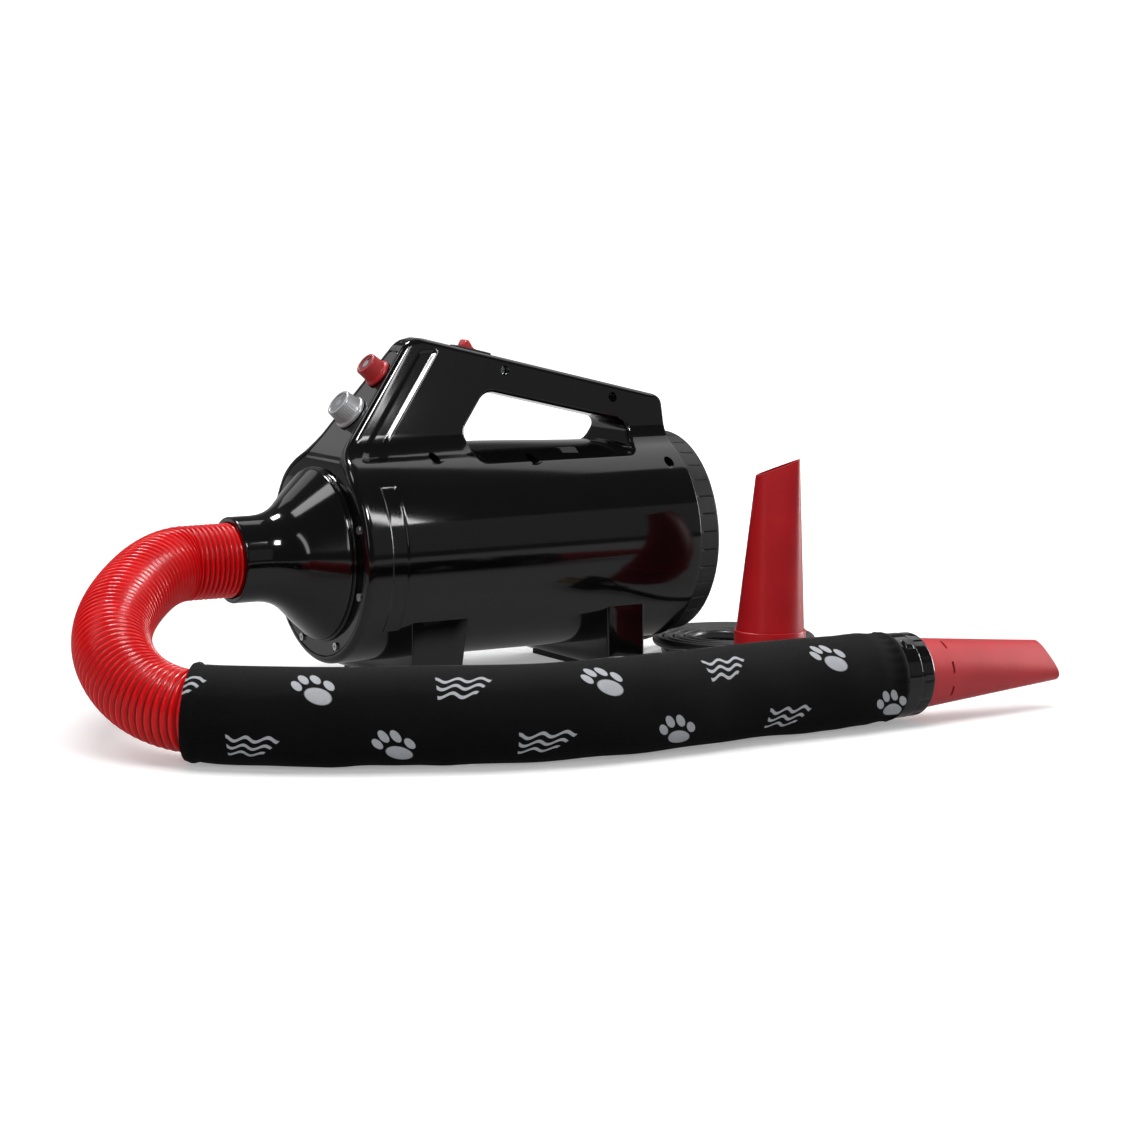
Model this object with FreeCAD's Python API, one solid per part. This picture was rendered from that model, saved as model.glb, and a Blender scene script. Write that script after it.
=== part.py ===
import FreeCAD, Part
import math
import os

from FreeCAD import Vector

# Pet dryer with hose, sleeve and two blow nozzles, in millimetres.
# Origin: on the floor, on the middle plane, under the middle of the front foot.
# +X runs along the body from the air outlet to the filter end, +Z is up.

# Body barrel and its hollow
axis_height = 104.0
body_radius = 85.0
wall = 2.8
front_x = -68.0
rear_x = 228.0
split_y = 0.0

# Tower and handle flanks: half width at a height, lean and the blend into the barrel
flank_ref_z = axis_height + 158.0
flank_ref_half = 12.0
flank_lean = math.radians(13.2)
blend_radius = 26.0
fin_top_z = axis_height + 186.0

# Side outline of tower and handle
panel_tilt = math.radians(38.3)
panel_bend_z = axis_height + 69.5
panel_bend_radius = 52.0
handle_slope = math.radians(13.9)
handle_ref_x = 31.0
handle_ref_z = axis_height + 160.6
tower_crown_radius = 20.0
post_corner_radius = 9.0
edge_round = 5.0

# Hand hole
hole_floor_z = axis_height + 78.0
hole_front_x = 47.0
hole_front_z = axis_height + 95.0
hole_front_low_x = 56.0
hole_top_front_x = 62.0
hole_rear_x = 195.0
grip_depth = 28.0
hole_corner_radius = 9.0
hole_edge_round = 3.0

# Feet, moulded across the underside
foot_half_width = 70.0
foot_bottom_z = 4.0
front_foot_half_length = 23.5
rear_foot_x = 167.0
rear_foot_half_length = 17.0
foot_rise_z = axis_height - 38.0
foot_nose_radius = 11.0
front_foot_lean = 0.18
foot_wall = 4.0
pad_inset = 2.5
pad_recess = 1.5

# Sunk band behind the front edge
band_depth = 1.2
band_width = 14.0
band_setback = 21.0
band_gap_low_z = axis_height + 56.0
band_gap_high_z = axis_height + 83.0
band_bottom_z = axis_height - 52.0

# Screws that hold the halves together, as (x, z)
case_screw_places = [
    (11.0, axis_height + 73.5),
    (88.0, axis_height + 136.5),
    (183.0, axis_height + 112.5),
    (95.0, axis_height + 69.0),
    (214.0, axis_height + 62.0),
    (2.0, 31.0),
    (159.0, 31.0),
]
well_radius = 3.9
boss_radius = well_radius + 1.7
well_floor_y = -9.0
screw_head_radius = 3.3
screw_head_height = 2.2
screw_shank_radius = 1.7
screw_thread_radius = 1.4
screw_thread_length = 12.0

# Front panel
panel_thickness = 3.0
panel_inset = 0.4
panel_play = 0.15
panel_reach = 108.0
rim_width = 5.8
ledge_width = 5.0
ledge_thickness = 3.0
panel_screw_angles = [-67.0, -113.0, -20.0, -160.0, 20.0, 160.0]
panel_screw_circle = body_radius - 11.0
panel_screw_head = 3.0
panel_screw_length = 9.0

# Outlet cone and hose socket
neck_radius = 33.0
neck_length = 35.0
mouth_x = -143.0
bell_end_radius = 62.0
bell_end_x = -76.0
cone_flange_radius = 67.5
cone_flange = 2.5
cone_wall = 2.6
cone_spigot_radius = 59.5
cone_spigot_length = 5.0
socket_depth = 42.0
socket_stop_radius = 25.5
cone_inner_x = -97.0

# Hose: real length follows from its route
hose_radius = 28.5
hose_root_radius = 26.6
hose_bore_radius = 25.0
hose_play = 0.3
hose_ribs = 56
hose_route = [
    (-101, 0, axis_height),
    (-205, 0, axis_height),
    (-300, -121, 72),
    (-301, -207, 34.4),
    (-239, -274, 34),
    (-96, -345, 34),
    (-2, -356, 34),
    (92, -346, 34),
    (196, -346, 34),
]
arc_share = 0.45
sleeve_outer_radius = 33.9
sleeve_inner_radius = 31.5
sleeve_start = 374.0
sleeve_end_x = 217.0

# Connector at the far end of the hose
cuff_y = -346.0
cuff_z = 34.0
cuff_start_x = 158.0
cuff_end_x = 230.0
cuff_radius = 31.0
cuff_web = 2.0
swivel_radius = 30.0
swivel_play = 0.05
collar_end_x = 241.0
collar_radius = 30.5
collar_neck_radius = 29.5
collar_grips = 12
fit_gap = 0.3

# Nozzles
nozzle_cuff_radius = 27.9
nozzle_cuff_length = 42.5
nozzle_play = 0.05
nozzle_step_radius = 26.7
nozzle_length = 166.0
nozzle_slant = 9.0
nozzle_mouth_half_width = 16.0
nozzle_mouth_half_depth = 6.2
nozzle_wall = 2.0
nozzle_slot_from_cuff = 21.0
nozzle_slots = 8
nozzle_slot_length = 9.0
nozzle_slot_width = 2.0
nozzle_roll = 40.0
spare_x = 243.0
spare_y = -160.0
spare_heading = -30.0

# Controls
knob_gap = 0.6
speed_knob_z = panel_bend_z + 37.5
speed_knob_base = 14.0
speed_knob_top = 11.2
speed_knob_height = 15.5
heat_knob_z = panel_bend_z + 67.0
heat_knob_base = 11.5
heat_knob_top = 9.3
heat_knob_height = 15.0
pot_bush_radius = 4.5
pot_shaft_radius = 3.0
pot_shaft_play = 0.05
speed_pot_radius = 10.0
heat_pot_radius = 8.5
pot_body_depth = 9.0
switch_x = 66.0
bezel_length = 30.0
bezel_width = 14.0
bezel_height = 1.6
switch_body_length = 27.0
switch_body_width = 12.4
switch_body_depth = 17.0
rocker_length = 21.0
rocker_width = 9.6
rocker_swing = 14.0
rocker_pivot_z = -1.0
rocker_pin_radius = 1.2
rocker_pin_reach = 5.8
rocker_pocket_z = -12.0
rocker_end_z = 5.2
rocker_middle_z = 2.6

# Motor, fan, heater and electronics
bracket_x = 26.0
bracket_thickness = 6.0
motor_radius = body_radius - 37.0
motor_front_x = 14.0
motor_length = 92.0
can_wall = 1.5
stator_x = 44.0
stator_length = 40.0
stator_bore = motor_radius - 21.0
rotor_gap = 0.6
shaft_radius = 4.0
bearing_radius = 11.0
bearing_width = 7.0
bearing_play = 0.05
commutator_radius = 12.0
fan_radius = body_radius - 20.0
fan_front_x = 107.0
fan_length = 62.0
fan_wall = 1.6
fan_eye_radius = 25.0
impeller_radius = fan_radius - 7.0
impeller_width = 16.0
impeller_blades = 7
front_impeller_x = 117.0
rear_impeller_x = 148.0
mount_ring_width = 14.0
heater_plate = 3.0
heater_x = -30.0
shelf_z = axis_height + 86.0
board_width = 40.0
winding_length = 8.0
mount_ring_x = 127.0
diffuser_x = 140.0
heater_width = 96.0
heater_height = 66.0
heater_depth = 16.0
heater_slots = 9
board_thickness = 1.6

# Filter end
basket_x = 220.0
basket_play = 0.3
basket_flange_radius = body_radius - wall - basket_play
basket_tube_radius = basket_flange_radius - 3.5
basket_wall = 2.0
basket_length = 22.5
cover_length = 20.0
cover_front_radius = body_radius - 2.0
cover_rear_radius = cover_front_radius - 2.0
cover_wall = 3.6
grille_inset = 1.5
grille_thickness = 3.0
grille_spokes = 12
grille_rows = [(14.0, 31.0), (34.0, 51.0), (54.0, cover_rear_radius - 9.0)]
cover_grooves = 36
groove_depth = 1.0
groove_width = 1.8

# Mains lead
cord_radius = 4.0
gland_y = 24.0
gland_z = 13.0
gland_radius = 6.4
gland_tip_radius = 5.0
gland_length = 38.0
gland_flange = 2.5
cord_route = [
    (178, 24, 13),
    (238, 24, 13),
    (268, 46, 12.7),
    (298, 46, 12.7),
]
coil_x = 298.0
coil_y = -22.0
coil_outer_radius = 68.0
coil_turns = 4
coil_pitch = 8.7
coil_low_z = 4.1
coil_dip = 1.2
tail_y = coil_y - coil_outer_radius + coil_pitch
tail_route = [
    (coil_x, tail_y, coil_low_z),
    (250, tail_y, coil_low_z),
    (222, -94, 8),
    (202, -115, 12),
]
plug_length = 46.0
plug_half_width = 13.5
plug_half_height = 12.0
plug_face_length = 20.0
pin_spacing = 12.7
pin_length = 16.0

os.makedirs("parts", exist_ok=True)

axis_point = Vector(0, 0, axis_height)
x_axis = Vector(1, 0, 0)
y_axis = Vector(0, 1, 0)
z_axis = Vector(0, 0, 1)


def save(name, shape):
    """Write one sub-part to its STEP file."""
    if not shape.isValid():
        print("not valid:", name)
    shape.exportStep("parts/" + name + ".step")
    print(name, len(shape.Solids), "solids", round(shape.Volume), "mm3")


def box(x0, x1, y0, y1, z0, z1):
    return Part.makeBox(x1 - x0, y1 - y0, z1 - z0, Vector(x0, y0, z0))


def rod(radius, start, end):
    """A round bar from start to end."""
    way = end - start
    return Part.makeCylinder(radius, way.Length, start, way)


def ring(outer, inner, x0, x1, centre=axis_point):
    """A plain ring about a line along X."""
    start = Vector(x0, centre.y, centre.z)
    end = Vector(x1, centre.y, centre.z)
    past = Vector(1, 0, 0)
    return rod(outer, start, end).cut(rod(inner, start - past, end + past))


def rounded(points, radii):
    """A closed wire through points, with an arc at each corner that has a radius."""
    count = len(points)
    starts = []
    ends = []
    edges = []
    for i in range(count):
        here = points[i]
        back = (points[i - 1] - here).normalize()
        ahead = (points[(i + 1) % count] - here).normalize()
        if radii[i] <= 0:
            starts.append(here)
            ends.append(here)
            edges.append(None)
            continue
        half = back.getAngle(ahead) / 2
        reach = radii[i] / math.tan(half)
        centre = here + (back + ahead).normalize() * (radii[i] / math.sin(half))
        middle = centre + (here - centre).normalize() * radii[i]
        starts.append(here + back * reach)
        ends.append(here + ahead * reach)
        edges.append(Part.Arc(starts[-1], middle, ends[-1]).toShape())
    wire = []
    for i in range(count):
        if edges[i] is not None:
            wire.append(edges[i])
        following = starts[(i + 1) % count]
        if (following - ends[i]).Length > 1e-6:
            wire.append(Part.makeLine(ends[i], following))
    return Part.Wire(wire)


def turned(profile, x0=0.0):
    """Revolve points given as (x, radius) about the body axis."""
    points = [Vector(x0 + x, 0, axis_height + r) for x, r in profile]
    face = Part.Face(Part.makePolygon(points + points[:1]))
    return face.revolve(axis_point, x_axis, 360)


def flank_half(z):
    """Half width of the tower and handle flanks at a height."""
    return flank_ref_half + (flank_ref_z - z) * math.tan(flank_lean)


def pear_face(inset):
    """Section across the body: the barrel circle with the leaning flanks blended in."""
    centre = Vector(0, 0, axis_height)
    down = Vector(0, math.sin(flank_lean), -math.cos(flank_lean))
    out = Vector(0, math.cos(flank_lean), math.sin(flank_lean))
    start = Vector(0, flank_ref_half, flank_ref_z)
    arm = start + out * blend_radius - centre
    along = arm.dot(down)
    reach = -along - math.sqrt(along ** 2 - arm.Length ** 2 + (body_radius + blend_radius) ** 2)
    blend = centre + arm + down * reach
    blend_r = blend_radius + inset
    on_flank = blend - out * blend_r
    on_barrel = centre + (blend - centre).normalize() * (body_radius - inset)
    middle = blend - ((out * 1.0 + (blend - centre).normalize()).normalize()) * blend_r
    lost = inset / math.cos(flank_lean)
    top_z = min(fin_top_z, flank_ref_z + (flank_ref_half - lost - 0.5) / math.tan(flank_lean))
    top = Vector(0, flank_half(top_z) - lost, top_z)

    def mirror(point):
        return Vector(point.x, -point.y, point.z)

    bottom = centre - Vector(0, 0, body_radius - inset)
    edges = [
        Part.makeLine(mirror(top), top),
        Part.makeLine(top, on_flank),
        Part.Arc(on_flank, middle, on_barrel).toShape(),
        Part.Arc(on_barrel, bottom, mirror(on_barrel)).toShape(),
        Part.Arc(mirror(on_barrel), mirror(middle), mirror(on_flank)).toShape(),
        Part.makeLine(mirror(on_flank), mirror(top)),
    ]
    return Part.Face(Part.Wire(edges))


def pear(inset, x0=front_x - 20, x1=rear_x + 20):
    """The body section run along X."""
    face = pear_face(inset)
    face.translate(Vector(x0, 0, 0))
    return face.extrude(Vector(x1 - x0, 0, 0))


panel_up = Vector(math.sin(panel_tilt), 0, math.cos(panel_tilt))
panel_in = Vector(math.cos(panel_tilt), 0, -math.sin(panel_tilt))
panel_bend = Vector(front_x, 0, panel_bend_z)


def on_panel(height, depth=0.0):
    """Point on the sloping front at a height, sunk by a depth."""
    along = (height - panel_bend_z) / panel_up.z
    return panel_bend + panel_up * along + panel_in * depth


def front_strip(d0, d1, reach=panel_reach, low_z=0.0):
    """Layer that follows the bent front between two depths."""
    def corner(depth):
        drop = depth * (1 - math.cos(panel_tilt)) / math.sin(panel_tilt)
        return Vector(front_x + depth, 0, panel_bend_z - drop)

    points = [
        Vector(front_x + d0, 0, low_z),
        corner(d0),
        panel_bend + panel_up * reach + panel_in * d0,
        panel_bend + panel_up * reach + panel_in * d1,
        corner(d1),
        Vector(front_x + d1, 0, low_z),
    ]
    radii = [0, panel_bend_radius - d0, 0, 0, panel_bend_radius - d1, 0]
    return across(rounded(points, radii))


def across(wire, half=100.0):
    """Prism across the body from an outline in the middle plane."""
    face = Part.Face(wire)
    face.translate(Vector(0, -half, 0))
    return face.extrude(Vector(0, 2 * half, 0))


def handle_top(x):
    return handle_ref_z - (x - handle_ref_x) * math.tan(handle_slope)


def side_wire():
    """Side view of barrel, tower and handle."""
    slope = math.tan(panel_tilt)
    fall = math.tan(handle_slope)
    crown_z = (handle_ref_z + fall * (handle_ref_x - front_x + slope * panel_bend_z)) / (1 + fall * slope)
    crown_x = front_x + slope * (crown_z - panel_bend_z)
    points = [
        Vector(front_x, 0, 0),
        Vector(front_x, 0, panel_bend_z),
        Vector(crown_x, 0, crown_z),
        Vector(rear_x, 0, handle_top(rear_x)),
        Vector(rear_x, 0, 0),
    ]
    return rounded(points, [0, panel_bend_radius, tower_crown_radius, post_corner_radius, 0])


def hole_wire():
    """Outline of the hand hole."""
    front_top = handle_top(hole_top_front_x) - grip_depth / math.cos(handle_slope) - 1.0
    rear_top = handle_top(hole_rear_x) - grip_depth / math.cos(handle_slope)
    points = [
        Vector(hole_front_low_x, 0, hole_floor_z),
        Vector(hole_front_x, 0, hole_front_z),
        Vector(hole_top_front_x, 0, front_top),
        Vector(hole_rear_x, 0, rear_top),
        Vector(hole_rear_x, 0, hole_floor_z),
    ]
    return rounded(points, [3, hole_corner_radius, hole_corner_radius + 1, hole_corner_radius, 5])


def foot_block(x_middle, half_length):
    """One foot across the underside, its lower front edge rounded and its rear face slanted."""
    lean = front_foot_lean if x_middle < front_foot_half_length else 0.0
    x0 = x_middle - half_length
    x1 = x_middle + half_length
    points = [
        Vector(x0, 0, foot_bottom_z),
        Vector(x1 - lean * 30, 0, foot_bottom_z),
        Vector(x1 + lean * 20, 0, foot_rise_z),
        Vector(x0, 0, foot_rise_z),
    ]
    return across(rounded(points, [foot_nose_radius, 1, 0, 0]), foot_half_width)


def foot_plan(x_middle, half_length, inset, z0, z1):
    """Rounded strip under a foot."""
    lean = front_foot_lean * 30 if x_middle < front_foot_half_length else 0.0
    x0 = x_middle - half_length + foot_nose_radius - 4 + inset
    x1 = x_middle + half_length - lean - inset
    half = foot_half_width - inset
    points = [Vector(x0, -half, z0), Vector(x1, -half, z0), Vector(x1, half, z0), Vector(x0, half, z0)]
    return Part.Face(rounded(points, [4, 4, 4, 4])).extrude(Vector(0, 0, z1 - z0))


feet = [(0.0, front_foot_half_length), (rear_foot_x, rear_foot_half_length)]
seat_depth = panel_inset + panel_thickness
ledge_depth = seat_depth + ledge_thickness
inner_radius = body_radius - wall
socket_radius = hose_radius + hose_play
barrel_front = Vector(front_x - 40, 0, axis_height)
barrel_rear = Vector(rear_x + 40, 0, axis_height)


def body_outside():
    """Outer form of the two halves together, with its rounded front and top edges."""
    solid = pear(0, front_x, rear_x).common(across(side_wire()))
    soft = []
    for edge in solid.Edges:
        middle = edge.valueAt((edge.FirstParameter + edge.LastParameter) / 2)
        top = middle.z > handle_top(rear_x) - 12 and abs(middle.y) > 5
        slope = middle.z > panel_bend_z - 25 and middle.x < 5 and abs(middle.y) > 5
        rim = abs(middle.x - front_x) < 0.01
        if middle.x < rear_x - 0.5 and (top or slope or rim):
            soft.append(edge)
    return solid.makeFillet(edge_round, soft)


def case_screws():
    """Screws across the body, heads in deep wells on the left."""
    screws = []
    for x, z in case_screw_places:
        head_y = well_floor_y - screw_head_height
        head = rod(screw_head_radius, Vector(x, head_y, z), Vector(x, well_floor_y, z))
        socket = box(x - 2.2, x + 2.2, head_y - 1, head_y + 1, z - 0.5, z + 0.5)
        cross = box(x - 0.5, x + 0.5, head_y - 1, head_y + 1, z - 2.2, z + 2.2)
        shank = rod(screw_shank_radius, Vector(x, well_floor_y, z), Vector(x, 0, z))
        thread = rod(screw_thread_radius, Vector(x, 0, z), Vector(x, screw_thread_length, z))
        screws.append(head.fuse([shank, thread]).cut(socket.fuse(cross)))
    return Part.Compound(screws)


def cavity():
    """Hollow inside barrel, tower and handle, up to the ledge of the front panel."""
    inner_side = side_wire().makeOffset2D(-wall)
    hollow = pear(wall, front_x, rear_x).common(across(inner_side))
    hollow = hollow.cut(across(hole_wire().makeOffset2D(wall)))
    hollow = hollow.cut(front_strip(-20, ledge_depth, panel_reach + 60))
    bosses = [rod(boss_radius, Vector(x, -90, z), Vector(x, 90, z)) for x, z in case_screw_places]
    return hollow.cut(bosses)


def housing():
    """Both halves as one, before the split."""
    outside = body_outside().cut(across(hole_wire()))
    rims = []
    for edge in outside.Edges:
        middle = edge.valueAt((edge.FirstParameter + edge.LastParameter) / 2)
        in_hole = hole_front_x - 5 < middle.x < hole_rear_x + 2
        below_top = middle.z < handle_top(middle.x) - grip_depth * 0.6
        if in_hole and below_top and middle.z > hole_floor_z + 1.5 and 5 < abs(middle.y) < 45:
            if edge.BoundBox.XLength < 200:
                rims.append(edge)
    outside = outside.makeFillet(hole_edge_round, rims)
    for x_middle, half_length in feet:
        block = foot_block(x_middle, half_length)
        outside = outside.fuse(block.cut(rod(body_radius - 1, barrel_front, barrel_rear)))
    cuts = [cavity(), band_cutter(), gland_hole()]
    cuts.append(rod(inner_radius, Vector(rear_x - wall - 1, 0, axis_height), barrel_rear))
    pocket = front_strip(-20, seat_depth, panel_reach + panel_play)
    cuts.append(pocket.common(pear(rim_width)))
    opening = front_strip(-20, ledge_depth + 1, panel_reach - ledge_width)
    cuts.append(opening.common(pear(rim_width + ledge_width)))
    bosses = [rod(boss_radius, Vector(x, -90, z), Vector(x, 90, z)) for x, z in case_screw_places]
    for x_middle, half_length in feet:
        inset = pad_inset + foot_wall
        pocket = foot_plan(x_middle, half_length, inset, foot_bottom_z - 1, foot_rise_z)
        cuts.append(pocket.cut([rod(body_radius, barrel_front, barrel_rear)] + bosses))
        seat_z = foot_bottom_z + pad_recess
        cuts.append(foot_plan(x_middle, half_length, pad_inset, foot_bottom_z - 1, seat_z))
    for x, z in case_screw_places:
        cuts.append(rod(well_radius, Vector(x, -95, z), Vector(x, well_floor_y, z)))
        cuts.append(rod(screw_shank_radius, Vector(x, well_floor_y - 1, z), Vector(x, 0, z)))
        cuts.append(rod(screw_thread_radius, Vector(x, -1, z), Vector(x, screw_thread_length, z)))
    for spot in panel_screw_spots():
        cuts.append(rod(screw_thread_radius, spot, spot + x_axis * panel_screw_length))
    for height, radius in ((speed_knob_z, speed_pot_radius), (heat_knob_z, heat_pot_radius)):
        cuts.append(rod(radius + 0.6, on_panel(height, seat_depth), on_panel(height, seat_depth + 8)))
    cuts.append(switch_box(switch_body_length, switch_body_width, -wall - 3, 1))
    return outside.cut(cuts)


class Route:
    """Straight runs joined by tangent arcs, each arc taking a share of the shorter run."""

    def __init__(self, points, share=arc_share):
        spots = [Vector(*p) for p in points]
        self.parts = []
        self.bends = []
        here = spots[0]
        for before, corner, after in zip(spots, spots[1:], spots[2:]):
            back = before - corner
            ahead = after - corner
            reach = share * min(back.Length, ahead.Length)
            back.normalize()
            ahead.normalize()
            turn = math.pi - back.getAngle(ahead)
            radius = reach / math.tan(turn / 2)
            centre = corner + (back + ahead).normalize() * (radius / math.cos(turn / 2))
            start = corner + back * reach
            self.parts.append((here, start, None, None, 0.0, (start - here).Length))
            turning = (start - centre).cross(corner + ahead * reach - centre).normalize()
            here = corner + ahead * reach
            self.parts.append((start, here, centre, turning, turn, radius * turn))
            self.bends.append(radius)
        self.parts.append((here, spots[-1], None, None, 0.0, (spots[-1] - here).Length))
        self.length = sum(part[5] for part in self.parts)

    def spot(self, part, share):
        start, end, centre, turning, turn, length = part
        if centre is None:
            return start + (end - start) * share, (end - start).normalize()
        arm = start - centre
        angle = turn * share
        swung = arm * math.cos(angle) + turning.cross(arm) * math.sin(angle)
        return centre + swung, turning.cross(swung).normalize()

    def at(self, distance):
        """Point and heading at a distance along the route."""
        for part in self.parts:
            if distance <= part[5] or part is self.parts[-1]:
                return self.spot(part, min(distance / part[5], 1.0))
            distance -= part[5]

    def wire(self, start=0.0, end=None):
        """The stretch between two distances as one wire."""
        end = self.length if end is None else end
        edges = []
        passed = 0.0
        for part in self.parts:
            low = max(start - passed, 0.0) / part[5]
            high = min(end - passed, part[5]) / part[5]
            passed += part[5]
            if high - low < 1e-6 or low > 1:
                continue
            first = self.spot(part, low)[0]
            last = self.spot(part, high)[0]
            if part[2] is None:
                edges.append(Part.LineSegment(first, last).toShape())
            else:
                edges.append(Part.Arc(first, self.spot(part, (low + high) / 2)[0], last).toShape())
        return Part.Wire(edges)


def round_wire(radius, centre, heading):
    """Circle square to a heading, with its seam held steady."""
    circle = Part.Circle(centre, heading, radius)
    side = Vector(0, 0, 1)
    side = side - heading * side.dot(heading)
    circle.XAxis = side.normalize()
    return Part.Wire(circle.toShape())


def tube(wire, start, heading, outer, inner=0.0):
    """Round tube or solid cord along a wire."""
    solid = wire.makePipeShell([round_wire(outer, start, heading)], True, False)
    if inner > 0:
        solid = solid.cut(wire.makePipeShell([round_wire(inner, start, heading)], True, False))
    return solid


def band_cutter():
    """Shallow sunk band that follows the front edge in two lengths."""
    strip = front_strip(band_setback, band_setback + band_width, panel_reach - 6)
    upper = strip.common(box(-100, 60, -90, 90, band_gap_high_z, 300))
    lower = strip.common(box(-100, 60, -90, 90, band_bottom_z, band_gap_low_z))
    return upper.fuse(lower).cut(pear(band_depth))


def gland_hole():
    face_x = rear_foot_x + rear_foot_half_length
    start = Vector(face_x - foot_wall - pad_inset - 4, gland_y, gland_z)
    return rod(gland_tip_radius, start, Vector(face_x + 1, gland_y, gland_z))


def panel_screw_spots():
    """Screw centres on the front face of the disc."""
    spots = []
    for angle in panel_screw_angles:
        turn = math.radians(angle)
        y = panel_screw_circle * math.cos(turn)
        z = axis_height + panel_screw_circle * math.sin(turn)
        spots.append(Vector(front_x + panel_inset, y, z))
    return spots


def panel_screws():
    screws = []
    for spot in panel_screw_spots():
        head = rod(panel_screw_head, spot - x_axis * 1.6, spot)
        long_slot = box(spot.x - 2, spot.x - 0.8, spot.y - 2, spot.y + 2, spot.z - 0.4, spot.z + 0.4)
        cross_slot = box(spot.x - 2, spot.x - 0.8, spot.y - 0.4, spot.y + 0.4, spot.z - 2, spot.z + 2)
        thread = rod(screw_thread_radius, spot, spot + x_axis * panel_screw_length)
        screws.append(head.cut([long_slot, cross_slot]).fuse(thread))
    return Part.Compound(screws)


def front_panel():
    """Bent plate: round below for the outlet, a tongue above for the two knobs."""
    plate = front_strip(panel_inset, seat_depth, panel_reach, 5).common(pear(rim_width + panel_play))
    cuts = [rod(cone_spigot_radius, barrel_front, Vector(front_x + 20, 0, axis_height))]
    for height in (speed_knob_z, heat_knob_z):
        cuts.append(rod(pot_bush_radius, on_panel(height, -5), on_panel(height, 15)))
    for spot in panel_screw_spots():
        cuts.append(rod(screw_thread_radius, spot - x_axis * 2, spot + x_axis * 8))
    return plate.cut(cuts)


def outlet_cone():
    """Bell on the front panel that narrows to the hose neck, with its stop inside."""
    face_x = front_x + panel_inset
    flange_x = face_x - cone_flange
    stop_x = mouth_x + socket_depth
    spigot_x = face_x + cone_spigot_length
    inner = cone_spigot_radius - cone_wall
    outline = [
        Vector(mouth_x, 0, socket_radius),
        Vector(mouth_x, 0, neck_radius),
        Vector(mouth_x + neck_length, 0, neck_radius),
        Vector(bell_end_x + 2, 0, bell_end_radius + 2),
        Vector(flange_x, 0, bell_end_radius + 2),
        Vector(flange_x, 0, cone_flange_radius),
        Vector(face_x, 0, cone_flange_radius),
        Vector(face_x, 0, cone_spigot_radius),
        Vector(spigot_x, 0, cone_spigot_radius),
        Vector(spigot_x, 0, inner),
        Vector(bell_end_x, 0, inner),
        Vector(cone_inner_x, 0, neck_radius + 4),
        Vector(stop_x + 2.5, 0, socket_stop_radius),
        Vector(stop_x, 0, socket_stop_radius),
        Vector(stop_x, 0, socket_radius),
    ]
    face = Part.Face(rounded(outline, [0, 1.2, 14, 2.5, 0, 0.8, 0, 0, 0, 0, 4, 0, 0, 0, 0]))
    face.translate(Vector(0, 0, axis_height))
    return face.revolve(axis_point, x_axis, 360)


def pad(index):
    """Rubber strip let into the underside of a foot, with treads across it."""
    x_middle, half_length = feet[index]
    strip = foot_plan(x_middle, half_length, pad_inset, 0, foot_bottom_z + pad_recess)
    ends = strip.BoundBox
    treads = 5
    step = ends.XLength / treads
    middles = [ends.XMin + step * (i + 0.5) for i in range(treads)]
    half = foot_half_width
    grooves = [box(x - 1, x + 1, -half, half, -1, 0.8) for x in middles if abs(x) > 2]
    return strip.cut(grooves)


def on_handle(shape):
    """Lay a shape drawn about its own origin on the handle top, at the switch."""
    placed = shape.copy()
    placed.rotate(Vector(0, 0, 0), y_axis, math.degrees(handle_slope))
    placed.translate(Vector(switch_x, 0, handle_top(switch_x)))
    return placed


def switch_box(length, width, z0, z1):
    return on_handle(box(-length / 2, length / 2, -width / 2, width / 2, z0, z1))


def power_switch():
    """Fixed body of the rocker switch, bezel, collar and tabs."""
    plate = box(-bezel_length / 2, bezel_length / 2, -bezel_width / 2, bezel_width / 2, 0, bezel_height)
    plate = plate.makeChamfer(0.6, [e for e in plate.Edges if e.CenterOfMass.z > bezel_height - 0.01])
    half = switch_body_length / 2
    side = switch_body_width / 2
    collar = box(-half, half, -side, side, -switch_body_depth, 0)
    pocket_x = rocker_length / 2 + fit_gap
    pocket_y = rocker_width / 2 + fit_gap
    pocket = box(-pocket_x, pocket_x, -pocket_y, pocket_y, rocker_pocket_z, bezel_height + 1)
    pin_end = Vector(0, rocker_pin_reach + 0.1, rocker_pivot_z)
    pin_start = Vector(0, -pin_end.y, rocker_pivot_z)
    pins = rod(rocker_pin_radius + 0.05, pin_start, pin_end)
    foot = -switch_body_depth
    tabs = [box(x - 0.4, x + 0.4, -2.4, 2.4, foot - 6, foot) for x in (-8, 0, 8)]
    return on_handle(plate.fuse([collar] + tabs).cut([pocket, pins]))


def rocker():
    """Red rocker, its front half raised as the switch rests."""
    half = rocker_length / 2
    end = half + 1
    side_y = rocker_width / 2
    side = rod(half, Vector(0, -side_y, rocker_pivot_z), Vector(0, side_y, rocker_pivot_z))
    outline = [
        Vector(-end, 0, rocker_pivot_z - 5),
        Vector(-end, 0, rocker_end_z),
        Vector(0, 0, rocker_middle_z),
        Vector(end, 0, rocker_end_z),
        Vector(end, 0, rocker_pivot_z - 5),
    ]
    body = side.common(across(rounded(outline, [0, 0, 12, 0, 0]), rocker_width))
    pins = rod(rocker_pin_radius, Vector(0, -rocker_pin_reach, rocker_pivot_z),
               Vector(0, rocker_pin_reach, rocker_pivot_z))
    body = body.fuse(pins)
    body.rotate(Vector(0, 0, rocker_pivot_z), y_axis, rocker_swing / 2)
    return on_handle(body)


def on_front(shape, height):
    """Stand a shape drawn along Z on the sloping front, at a height."""
    placed = shape.copy()
    placed.rotate(Vector(0, 0, 0), y_axis, -(90 - math.degrees(panel_tilt)))
    placed.translate(on_panel(height, panel_inset))
    return placed


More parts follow.
